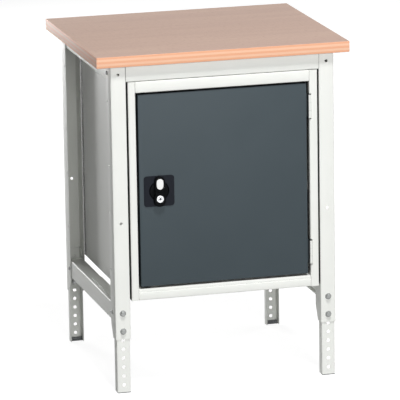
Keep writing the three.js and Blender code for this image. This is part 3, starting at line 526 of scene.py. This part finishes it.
def anthracite_powder_coat():
    # Textured polyester powder: matt dark blue-grey, faintly cloudy over 150 mm, with fine peaks that
    # break up reflections. The peaks are about 0.7 mm apart and are drawn at 2.5 mm, so that they show.
    material, tree, place = new_finish("anthracite_powder_coat")
    cloud = add_node(tree, "ShaderNodeTexNoise", {
        "Vector": place,
        "Scale": 1 / (150 * MM),
        "Detail": 2.0,
    })
    colour = add_node(tree, "ShaderNodeMix", {
        "Factor_Float": cloud.outputs["Fac"],
        "A_Color": linear("#3A4449"),
        "B_Color": linear("#404A4F"),
    }, data_type="RGBA")
    peaks = add_node(tree, "ShaderNodeTexNoise", {
        "Vector": place,
        "Scale": 1 / (2.5 * MM),
        "Detail": 2.0,
    })
    matt = add_node(tree, "ShaderNodeMapRange", {
        "Value": peaks.outputs["Fac"],
        "To Min": 0.5,
        "To Max": 0.64,
    })
    bump = add_node(tree, "ShaderNodeBump", {
        "Height": peaks.outputs["Fac"],
        "Strength": 0.25,
        "Distance": 0.06 * MM,
    })
    end_finish(tree, {
        # the coat's colour with painted shade in slots and gaps
        "Base Color": painted_slot_shade(tree, colour.outputs[MIXED_COLOUR]),
        "Roughness": matt.outputs["Result"],
        "Normal": bump.outputs["Normal"],
        "Specular IOR Level": 0.25,
        "IOR": 1.5,
    })
    return material


anthracite = anthracite_powder_coat()
for node in ("door_panel", "door_stiffener"):
    finished(node, anthracite, DOOR_EDGE)

# Hinges
# Rolled steel leaves with three knuckles, coated with the cupboard, on zinc-plated pins.
# The plate welded to the door's edge is sprayed again with the door, and its knuckle is masked.
HINGE_EDGE = 0.25 * MM
MASKED_REACH = 4 * MM  # from the hinge's axis
for level in ("upper", "lower"):
    finished(f"hinge_frame_leaf_{level}", grey_coat, HINGE_EDGE)
    door_leaf = finished(f"hinge_door_leaf_{level}", grey_coat, HINGE_EDGE)
    door_leaf.data.materials.append(anthracite)
    pin_low, pin_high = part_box(f"hinge_pin_{level}")
    for face in door_leaf.data.polygons:
        offset = face.center - (pin_low + pin_high) / 2
        face.material_index = 1 if offset.xy.length > MASKED_REACH else 0
    finished(f"hinge_pin_{level}", zinc, HINGE_EDGE)

# Handle dish
# A square plastic moulding with a round recess, let into the door.
# A zinc-plated steel frame behind the sheet clamps it.
DISH_EDGE = 0.8 * MM


def moulded_dish_plastic():
    # Injection-moulded ABS: dark slate, finely grained, a little lighter than the handle in it.
    # The grain is about 0.4 mm and is drawn at 1.5 mm, so that it shows.
    material, tree, place = new_finish("moulded_dish_plastic")
    grain = add_node(tree, "ShaderNodeTexNoise", {
        "Vector": place,
        "Scale": 1 / (1.5 * MM),
        "Detail": 2.0,
    })
    colour, satin = mottled(tree, grain.outputs["Fac"], ("#1B1D23", "#23262C"), (0.42, 0.55))
    bump = add_node(tree, "ShaderNodeBump", {
        "Height": grain.outputs["Fac"],
        "Strength": 0.2,
        "Distance": 0.05 * MM,
    })
    end_finish(tree, {
        "Base Color": colour,
        "Roughness": satin,
        "Normal": bump.outputs["Normal"],
        "Specular IOR Level": 0.05,
        "IOR": 1.53,
    })
    return material


finished("handle_dish", moulded_dish_plastic(), DISH_EDGE)
finished("dish_clamp", zinc, FASTENER_EDGE)

# Turning handle
# A black nylon moulding: a round knob in the dish's recess, and on it an upright grip with two lobes.
# The narrow upper lobe holds the pale insert, the wide lower one the lock, and a saddle joins them.
AROUND = 64
UPPER_LOBE = 14.2 * MM  # half widths of the grip
LOWER_LOBE = 16.0 * MM
SADDLE = 12.6 * MM
SADDLE_DEPTH = 3.0 * MM
SADDLE_REACH = (-12 * MM, 7 * MM)  # below and above the handle's axis
UPPER_LOBE_FOOT = 12 * MM  # centre of the upper lobe's round lower end, above the axis
POCKET_PLAY = 0.15 * MM
GRIP_THICKNESS = 10 * MM
KNOB_RADIUS = 25.5 * MM
KNOB_SINK = 0.8 * MM  # of the knob's face behind the grip
KNOB_BACK = 15.5 * MM  # behind the grip's front
HUB_RADIUS = 12 * MM
GRIP_ROUNDING = 2.2 * MM
GRIP_SEGMENTS = 4
SLIGHT = 0.2  # share of that rounding at minor edges


def moulded_black_nylon():
    # Injection-moulded polyamide: nearly black, with the fine spark-eroded grain of its mould.
    # The grain is about 0.3 mm and is drawn at 1.2 mm, so that it shows.
    material, tree, place = new_finish("moulded_black_nylon")
    grain = add_node(tree, "ShaderNodeTexNoise", {
        "Vector": place,
        "Scale": 1 / (1.2 * MM),
        "Detail": 2.0,
    })
    colour, satin = mottled(tree, grain.outputs["Fac"], ("#07080A", "#101113"), (0.38, 0.5))
    bump = add_node(tree, "ShaderNodeBump", {
        "Height": grain.outputs["Fac"],
        "Strength": 0.2,
        "Distance": 0.05 * MM,
    })
    end_finish(tree, {
        "Base Color": colour,
        "Roughness": satin,
        "Normal": bump.outputs["Normal"],
        "Specular IOR Level": 0.03,
        "IOR": 1.53,
    })
    return material


def stadium(centre, half_width, low, high):
    """An upright outline with round ends, whose centres lie low and high of a place."""
    points = []
    for i in range(AROUND):
        angle = (i + 0.5) * 2 * math.pi / AROUND
        end = high if math.sin(angle) > 0 else low
        across = centre.x + half_width * math.cos(angle)
        up = centre.z + end + half_width * math.sin(angle)
        points.append((across, up))
    return points


def add_shell(shape, rings, through=False):
    """Adds a shell through (outline, depth, softness) rings, capped or open through its middle."""
    soft = shape.edges.layers.float["bevel_weight_edge"]
    rows = [[shape.verts.new((x, depth, z)) for x, z in outline] for outline, depth, _ in rings]
    pairs = list(zip(rows, rows[1:]))
    if through:
        pairs.append((rows[-1], rows[0]))
    for row, following in pairs:
        for i in range(len(row)):
            j = (i + 1) % len(row)
            shape.faces.new((row[i], row[j], following[j], following[i]))
    if not through:
        shape.faces.new(rows[0])
        shape.faces.new(rows[-1])
    for row, (_, _, softness) in zip(rows, rings):
        for i, vertex in enumerate(row):
            shape.edges.get((vertex, row[i - 1]))[soft] = softness


def turn_handle(finish):
    """The grip's two lobes with their pockets, the saddle between them, and the knob with its hub."""
    low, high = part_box("turn_handle")
    cap_low, cap_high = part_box("handle_insert")
    lock_low, lock_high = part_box("lock_barrel")
    axis = (low + high) / 2
    cap = (cap_low + cap_high) / 2
    lock = (lock_low + lock_high) / 2
    reach = high.z - axis.z
    front = low.y
    back = front + GRIP_THICKNESS
    cap_half = (cap_high.x - cap_low.x) / 2
    cap_ends = (cap_high.z - cap_low.z) / 2 - cap_half
    upper = stadium(axis, UPPER_LOBE, UPPER_LOBE_FOOT, reach - UPPER_LOBE)
    cap_pocket = stadium(cap, cap_half + POCKET_PLAY, -cap_ends, cap_ends)
    lower = stadium(axis, LOWER_LOBE, LOWER_LOBE - reach, lock.z - axis.z)
    lock_pocket = stadium(lock, (lock_high.x - lock_low.x) / 2 + POCKET_PLAY, 0.0, 0.0)
    hub = stadium(axis, HUB_RADIUS, 0.0, 0.0)
    knob = stadium(axis, KNOB_RADIUS, 0.0, 0.0)
    saddle = [(axis.x + side * SADDLE, axis.z + up)
              for side, up in zip((1, 1, -1, -1), SADDLE_REACH + SADDLE_REACH[::-1])]
    shape = bmesh.new()
    shape.edges.layers.float.new("bevel_weight_edge")
    add_shell(shape, [
        (upper, back, SLIGHT),
        (upper, front, 1.0),
        (cap_pocket, front, SLIGHT),
        (cap_pocket, cap_high.y + POCKET_PLAY, 0.0),
    ])
    add_shell(shape, [
        (lower, back, SLIGHT),
        (lower, front, 1.0),
        (lock_pocket, front, SLIGHT),
        (lock_pocket, back, 0.0),
    ], through=True)
    add_shell(shape, [(saddle, back, 0.0), (saddle, front + SADDLE_DEPTH, 0.5)])
    add_shell(shape, [
        (hub, high.y, SLIGHT),
        (hub, front + KNOB_BACK, SLIGHT),
        (knob, front + KNOB_BACK, SLIGHT),
        (knob, back + KNOB_SINK, 0.5),
        (hub, back + KNOB_SINK, 0.0),
        (hub, back - KNOB_SINK, 0.0),
    ])
    bmesh.ops.recalc_face_normals(shape, faces=shape.faces)
    mesh = bpy.data.meshes.new("turn_handle_moulding")
    shape.to_mesh(mesh)
    shape.free()
    mesh.materials.append(finish)
    piece = round_edges(bpy.data.objects.new(mesh.name, mesh), GRIP_ROUNDING, GRIP_SEGMENTS)
    piece.modifiers["rounded_edges"].limit_method = "WEIGHT"
    show(piece, frame["nodes"]["turn_handle"]["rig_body"])
    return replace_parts(piece, "turn_handle")


turn_handle(moulded_black_nylon())

# Handle insert and lock
# A pale oval cap of moulded plastic, pressed into the grip's upper lobe.
# The lower lobe holds a chromed lock barrel, with a plug that the key turns.
INSERT_EDGE = 2.2 * MM
LOCK_EDGE = 0.8 * MM


def pale_moulded_cap():
    # Glossy moulded ABS in a warm white, with the faint waviness of a thick moulding.
    # The waves are about 8 mm long.
    material, tree, place = new_finish("pale_moulded_cap")
    wave = add_node(tree, "ShaderNodeTexNoise", {
        "Vector": place,
        "Scale": 1 / (8 * MM),
        "Detail": 1.0,
    })
    colour, gloss = mottled(tree, wave.outputs["Fac"], ("#E6E7E6", "#EEEEED"), (0.2, 0.3))
    end_finish(tree, {
        "Base Color": colour,
        "Roughness": gloss,
        "IOR": 1.53,
    })
    return material


def polished_chrome():
    # Chromium on polished nickel: bright and cool, with hairline marks from keys.
    # The marks are about 0.2 mm wide and are drawn at 0.8 mm, so that they show.
    material, tree, place = new_finish("polished_chrome")
    stretched = add_node(tree, "ShaderNodeMapping", {
        "Vector": place,
        "Scale": (1.0, 1.0, 0.1),
    })
    hairlines = add_node(tree, "ShaderNodeTexNoise", {
        "Vector": stretched.outputs["Vector"],
        "Scale": 1 / (0.8 * MM),
        "Detail": 2.0,
    })
    colour, polish = mottled(tree, hairlines.outputs["Fac"], ("#E6E8EA", "#F1F2F4"), (0.08, 0.2))
    end_finish(tree, {
        "Base Color": colour,
        "Roughness": polish,
        "Metallic": 1.0,
    })
    return material


def keyed_chrome(axis):
    # The plug's face is chromed like the barrel, and darker round the keyway.
    # The dark patch is about 7 mm across, with an edge that wanders by 1 mm.
    material, tree, place = new_finish("keyed_chrome")
    offset = add_node(tree, "ShaderNodeVectorMath", {
        "Vector": place,
        "Vector_001": axis,
    }, operation="SUBTRACT")
    flat = add_node(tree, "ShaderNodeVectorMath", {
        "Vector": offset.outputs["Vector"],
        "Vector_001": (1.0, 0.0, 1.0),
    }, operation="MULTIPLY")
    distance = add_node(tree, "ShaderNodeVectorMath", {
        "Vector": flat.outputs["Vector"],
    }, operation="LENGTH")
    wander = add_node(tree, "ShaderNodeTexNoise", {
        "Vector": place,
        "Scale": 1 / (3 * MM),
        "Detail": 2.0,
    })
    strayed = add_node(tree, "ShaderNodeMath", {
        "Value": wander.outputs["Fac"],
        "Value_001": 1 * MM,
        "Value_002": distance.outputs["Value"],
    }, operation="MULTIPLY_ADD")
    outside_patch = add_node(tree, "ShaderNodeMapRange", {
        "Value": strayed.outputs["Value"],
        "From Min": 3.0 * MM,
        "From Max": 5.0 * MM,
    })
    colour, dull = mottled(tree, outside_patch.outputs["Result"], ("#4A4C50", "#E6E8EA"), (0.45, 0.15))
    end_finish(tree, {
        "Base Color": colour,
        "Roughness": dull,
        "Metallic": 1.0,
    })
    return material


finished("handle_insert", pale_moulded_cap(), INSERT_EDGE)
finished("lock_barrel", polished_chrome(), LOCK_EDGE)
plug_low, plug_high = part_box("lock_plug")
finished("lock_plug", keyed_chrome((plug_low + plug_high) / 2), FASTENER_EDGE)

# Latch
# Zinc-plated steel: a spindle from the handle, with the cam and its nut on the end.
# A quarter turn swings the cam behind the strike plate, which is welded inside the stile.
for node in ("handle_spindle", "latch_cam", "cam_nut", "strike_plate"):
    finished(node, zinc, FASTENER_EDGE)

# Door buffers
# Two blocks of black rubber, cut from strip and glued under the head and on the floor.
# The door's free edge comes to rest on them.
BUFFER_EDGE = 0.8 * MM


def buffer_rubber():
    # Vulcanised rubber: matt black, with a dusty bloom.
    # The bloom's patches are about 4 mm across.
    material, tree, place = new_finish("buffer_rubber")
    bloom = add_node(tree, "ShaderNodeTexNoise", {
        "Vector": place,
        "Scale": 1 / (4 * MM),
        "Detail": 4.0,
    })
    colour, matt = mottled(tree, bloom.outputs["Fac"], ("#1C1C1C", "#2E2E2D"), (0.75, 0.92))
    end_finish(tree, {
        "Base Color": colour,
        "Roughness": matt,
        "IOR": 1.52,
    })
    return material


rubber = buffer_rubber()
for level in ("upper", "lower"):
    finished(f"door_buffer_{level}", rubber, BUFFER_EDGE)

# Worktop
# A 30 mm board of beech multiplex: rotary-cut veneers glued crosswise, sawn, sanded, oiled and eased.
# Its top shows the veneer's long figure, and its edges show the layers.
TOP_EASE = 1.5 * MM
EASE_SEGMENTS = 4
PLY = 6.0 * MM  # real layers are about 2 mm thick; drawn thicker, so that they show
LEVEL_ENOUGH = 0.8  # faces whose normals point up or down by more than this show the veneer


def oiled_beech_veneer():
    # Rotary-cut beech: pale pinkish brown, with a broad wavy figure along the board, fine fibres and
    # short dark ray flecks. The fibres are about 1 mm wide and the flecks 0.6 mm by 3 mm on real beech.
    # They are drawn at 4 mm, and at 2 mm by 12 mm, so that they show.
    material, tree, place = new_finish("oiled_beech_veneer")
    broad = add_node(tree, "ShaderNodeMapping", {
        "Vector": place,
        "Scale": (1 / (600 * MM), 1 / (45 * MM), 1 / (45 * MM)),
    })
    figure = add_node(tree, "ShaderNodeTexNoise", {
        "Vector": broad.outputs["Vector"],
        "Scale": 1.0,
        "Detail": 3.0,
        "Distortion": 0.6,
    })
    fine = add_node(tree, "ShaderNodeMapping", {
        "Vector": place,
        "Scale": (1 / (140 * MM), 1 / (4 * MM), 1 / (4 * MM)),
    })
    fibres = add_node(tree, "ShaderNodeTexNoise", {
        "Vector": fine.outputs["Vector"],
        "Scale": 1.0,
        "Detail": 2.0,
    })
    short = add_node(tree, "ShaderNodeMapping", {
        "Vector": place,
        "Scale": (1 / (12 * MM), 1 / (2 * MM), 1 / (2 * MM)),
    })
    flecks = add_node(tree, "ShaderNodeTexNoise", {
        "Vector": short.outputs["Vector"],
        "Scale": 1.0,
        "Detail": 0.0,
    })
    dark = add_node(tree, "ShaderNodeMapRange", {
        "Value": flecks.outputs["Fac"],
        "From Min": 0.6,
        "From Max": 0.75,
        "To Min": 0.0,
        "To Max": 0.3,
    })
    spread = add_node(tree, "ShaderNodeMapRange", {
        "Value": figure.outputs["Fac"],
        "From Min": 0.3,
        "From Max": 0.7,
    })
    wood = add_node(tree, "ShaderNodeMix", {
        "Factor_Float": spread.outputs["Result"],
        "A_Color": linear("#D5BAA9"),
        "B_Color": linear("#CAAD9F"),
    }, data_type="RGBA")
    streaked = add_node(tree, "ShaderNodeMix", {
        "Factor_Float": fibres.outputs["Fac"],
        "A_Color": wood.outputs[MIXED_COLOUR],
        "B_Color": linear("#CDB2A5"),
    }, data_type="RGBA")
    colour = add_node(tree, "ShaderNodeMix", {
        "Factor_Float": dark.outputs["Result"],
        "A_Color": streaked.outputs[MIXED_COLOUR],
        "B_Color": linear("#A27F68"),
    }, data_type="RGBA")
    oiled = add_node(tree, "ShaderNodeMapRange", {
        "Value": fibres.outputs["Fac"],
        "To Min": 0.58,
        "To Max": 0.72,
    })
    bump = add_node(tree, "ShaderNodeBump", {
        "Height": fibres.outputs["Fac"],
        "Strength": 0.2,
        "Distance": 0.1 * MM,
    })
    end_finish(tree, {
        "Base Color": colour.outputs[MIXED_COLOUR],
        "Roughness": oiled.outputs["Result"],
        "Normal": bump.outputs["Normal"],
        "Specular IOR Level": 0.2,
        "IOR": 1.45,
    })
    return material


def multiplex_edge():
    # The sawn edge of crosswise veneers: layers with their fibres along the edge are pale, with streaks
    # about 3 mm by 60 mm, and the layers between them show darker end grain with pores drawn at 3 mm.
    # The short edges get paler layers: painted light.
    material, tree, place = new_finish("multiplex_edge")
    axes = add_node(tree, "ShaderNodeSeparateXYZ", {"Vector": place})
    phase = add_node(tree, "ShaderNodeMath", {
        "Value": axes.outputs["Z"],
        "Value_001": math.pi / PLY,
    }, operation="MULTIPLY")
    wave = add_node(tree, "ShaderNodeMath", {"Value": phase.outputs["Value"]}, operation="SINE")
    end_grain = add_node(tree, "ShaderNodeMapRange", {
        "Value": wave.outputs["Value"],
        "From Min": -0.3,
        "From Max": 0.3,
    })
    geometry = add_node(tree, "ShaderNodeNewGeometry")
    facing = add_node(tree, "ShaderNodeSeparateXYZ", {"Vector": geometry.outputs["Normal"]})
    short_edge = add_node(tree, "ShaderNodeMath", {
        "Value": facing.outputs["X"],
    }, operation="ABSOLUTE")
    along = add_node(tree, "ShaderNodeMapping", {
        "Vector": place,
        "Scale": (1 / (60 * MM), 1 / (60 * MM), 1 / (3 * MM)),
    })
    streaks = add_node(tree, "ShaderNodeTexNoise", {
        "Vector": along.outputs["Vector"],
        "Scale": 1.0,
        "Detail": 3.0,
    })
    pores = add_node(tree, "ShaderNodeTexNoise", {
        "Vector": place,
        "Scale": 1 / (3 * MM),
        "Detail": 2.0,
    })
    long_colour = add_node(tree, "ShaderNodeMix", {
        "Factor_Float": streaks.outputs["Fac"],
        "A_Color": linear("#EEB997"),
        "B_Color": linear("#F2C8AB"),
    }, data_type="RGBA")
    end_colour = add_node(tree, "ShaderNodeMix", {
        "Factor_Float": pores.outputs["Fac"],
        "A_Color": linear("#E6A583"),
        "B_Color": linear("#EDB593"),
    }, data_type="RGBA")
    layers = add_node(tree, "ShaderNodeMix", {
        "Factor_Float": end_grain.outputs["Result"],
        "A_Color": long_colour.outputs[MIXED_COLOUR],
        "B_Color": end_colour.outputs[MIXED_COLOUR],
    }, data_type="RGBA")
    # painted light: paler layers for the short edges, which face sideways
    painted_light_layers = add_node(tree, "ShaderNodeMix", {
        "Factor_Float": end_grain.outputs["Result"],
        "A_Color": linear("#FFD8C3"),
        "B_Color": linear("#FFCAB0"),
    }, data_type="RGBA")
    # the painted light goes on the faces that point along the board
    colour = add_node(tree, "ShaderNodeMix", {
        "Factor_Float": short_edge.outputs["Value"],
        "A_Color": layers.outputs[MIXED_COLOUR],
        "B_Color": painted_light_layers.outputs[MIXED_COLOUR],
    }, data_type="RGBA")
    bump = add_node(tree, "ShaderNodeBump", {
        "Height": end_grain.outputs["Result"],
        "Strength": 0.15,
        "Distance": 0.1 * MM,
    })
    end_finish(tree, {
        "Base Color": colour.outputs[MIXED_COLOUR],
        "Roughness": 0.62,
        "Normal": bump.outputs["Normal"],
        "Specular IOR Level": 0.1,
        "IOR": 1.45,
    })
    return material


top_low, top_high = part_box("worktop")
board = bmesh.new()
bmesh.ops.create_cube(board, size=1.0)
for vertex in board.verts:
    for axis in range(3):
        vertex.co[axis] = top_low[axis] if vertex.co[axis] < 0 else top_high[axis]
bmesh.ops.bevel(
    board,
    geom=board.edges[:],
    offset=TOP_EASE,
    segments=EASE_SEGMENTS,
    affect="EDGES",
    profile=0.5,
)
board.normal_update()
for face in board.faces:
    face.material_index = 0 if abs(face.normal.z) > LEVEL_ENOUGH else 1
    face.smooth = True
mesh = bpy.data.meshes.new("worktop_board")
board.to_mesh(mesh)
board.free()
mesh.materials.append(oiled_beech_veneer())
mesh.materials.append(multiplex_edge())
worktop_board = show(bpy.data.objects.new("worktop_board", mesh), "frame")
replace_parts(worktop_board, "worktop")

# Worktop screws
# Zinc-plated button-head wood screws, made like the rail screws but longer and without nuts.
# Two go up through the top flange of each upper rail into the board.
TOP_SCREW_SIZES = {
    **SCREW_SIZES,
    "Shank start": -21.7 * MM,
    "Shank length": 22.0 * MM,
}
TOP_SCREW_SPREAD = 130 * MM  # from the middle of a rail
top_screw_places = []
for node in [rail for rail in SIDE_RAILS if "upper" in rail] + CROSS_RAILS:
    low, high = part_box(node)
    middle = (low + high) / 2
    along = Vector((0, 1, 0)) if node in SIDE_RAILS else Vector((1, 0, 0))
    for spread in (-TOP_SCREW_SPREAD, TOP_SCREW_SPREAD):
        seat = middle + spread * along
        top_screw_places.append(((seat.x, seat.y, high.z - FRAME_SHEET), (0, 0, -1)))
top_screw_tree = button_screw_tree("worktop_screw", TOP_SCREW_SIZES, zinc)
fastened("worktop_screws", top_screw_tree, TOP_SCREW_SIZES, top_screw_places)

# Studio
# A white floor that keeps a soft shadow, under a broad lamp in front, a high one above the front,
# one behind at the left and a weak one at the right. A long lens looks from the left, a little above.
CAMERA_PLACE = Vector((-2.695, -10.147, 2.923))
CAMERA_TURN = math.radians(14.91)
CAMERA_DIP = math.radians(13.25)
CAMERA_ROLL = math.radians(-0.94)
LENS = 351.2  # millimetres, as is the sensor
SENSOR = 36.0
FARTHEST = 200.0  # metres that the camera sees
FLOOR_SIZE = 60.0
FLOOR_COLOUR = "#9C9C9C"
FLOOR_LIFT = 0.87  # added where the floor is seen, so that it is white outside the shadow
AMBIENT = 0.04
AIM = Vector((0.0, 0.0, 0.5))
LAMPS = [  # places and sizes in metres, powers in watts
    {"name": "front_lamp", "place": (0.1, -5.0, 1.6), "size": 2.4, "power": 150.0},
    {"name": "top_lamp", "place": (0.0, -3.87, 8.55), "size": 1.35, "power": 520.0},
    {"name": "left_lamp", "place": (-1.35, 5.0, 0.8), "size": 1.2, "power": 198.0},
    {"name": "right_lamp", "place": (4.6, 2.4, 1.6), "size": 2.4, "power": 60.0},
]

forward = Vector((
    math.sin(CAMERA_TURN) * math.cos(CAMERA_DIP),
    math.cos(CAMERA_TURN) * math.cos(CAMERA_DIP),
    -math.sin(CAMERA_DIP),
))
sideways = Vector((math.cos(CAMERA_TURN), -math.sin(CAMERA_TURN), 0.0))
upward = sideways.cross(forward)
across = sideways * math.cos(CAMERA_ROLL) + upward * math.sin(CAMERA_ROLL)
over = upward * math.cos(CAMERA_ROLL) - sideways * math.sin(CAMERA_ROLL)
lens = bpy.data.cameras.new("camera")
lens.lens = LENS
lens.sensor_width = SENSOR
lens.clip_end = FARTHEST
camera = bpy.data.objects.new("camera", lens)
turned = Matrix((across, over, -forward)).transposed().to_4x4()
camera.matrix_world = Matrix.Translation(CAMERA_PLACE) @ turned
scene.collection.objects.link(camera)
scene.camera = camera

for row in LAMPS:
    lamp = bpy.data.lights.new(row["name"], "AREA")
    lamp.size = row["size"]
    lamp.energy = row["power"]
    holder = bpy.data.objects.new(row["name"], lamp)
    holder.location = row["place"]
    holder.rotation_euler = (AIM - holder.location).to_track_quat("-Z", "Y").to_euler()
    scene.collection.objects.link(holder)


def seen_share(tree):
    """1 for rays from the camera, a mirror or glass, and 0 for the rays that light the object."""
    path = add_node(tree, "ShaderNodeLightPath").outputs
    either = add_node(tree, "ShaderNodeMath", {
        "Value": path["Is Camera Ray"],
        "Value_001": path["Is Glossy Ray"],
    }, operation="MAXIMUM")
    any_of = add_node(tree, "ShaderNodeMath", {
        "Value": either.outputs["Value"],
        "Value_001": path["Is Transmission Ray"],
    }, operation="MAXIMUM")
    return any_of.outputs["Value"]


world = bpy.data.worlds.new("white_surround")
world.use_nodes = True
world.node_tree.nodes.clear()
glow = add_node(world.node_tree, "ShaderNodeMapRange", {
    "Value": seen_share(world.node_tree),
    "To Min": AMBIENT,
    "To Max": 1.0,
})
surround = add_node(world.node_tree, "ShaderNodeBackground", {
    "Color": linear("#FFFFFF"),
    "Strength": glow.outputs["Result"],
})
add_node(world.node_tree, "ShaderNodeOutputWorld", {"Surface": surround.outputs["Background"]})
scene.world = world

paint = bpy.data.materials.new("white_floor")
paint.use_nodes = True
paint.node_tree.nodes.clear()
lift = add_node(paint.node_tree, "ShaderNodeMath", {
    "Value": seen_share(paint.node_tree),
    "Value_001": FLOOR_LIFT,
}, operation="MULTIPLY")
matt = add_node(paint.node_tree, "ShaderNodeBsdfDiffuse", {"Color": linear(FLOOR_COLOUR)})
bright = add_node(paint.node_tree, "ShaderNodeEmission", {"Strength": lift.outputs["Value"]})
both = add_node(paint.node_tree, "ShaderNodeAddShader", {
    "Shader": matt.outputs["BSDF"],
    "Shader_001": bright.outputs["Emission"],
})
add_node(paint.node_tree, "ShaderNodeOutputMaterial", {"Surface": both.outputs["Shader"]})
half = FLOOR_SIZE / 2
floor_mesh = bpy.data.meshes.new("floor")
floor_corners = [(-half, -half, 0), (half, -half, 0), (half, half, 0), (-half, half, 0)]
floor_mesh.from_pydata(floor_corners, [], [(0, 1, 2, 3)])
floor_mesh.materials.append(paint)
floor = bpy.data.objects.new("floor", floor_mesh)
scene.collection.objects.link(floor)

scene.view_settings.view_transform = "Standard"
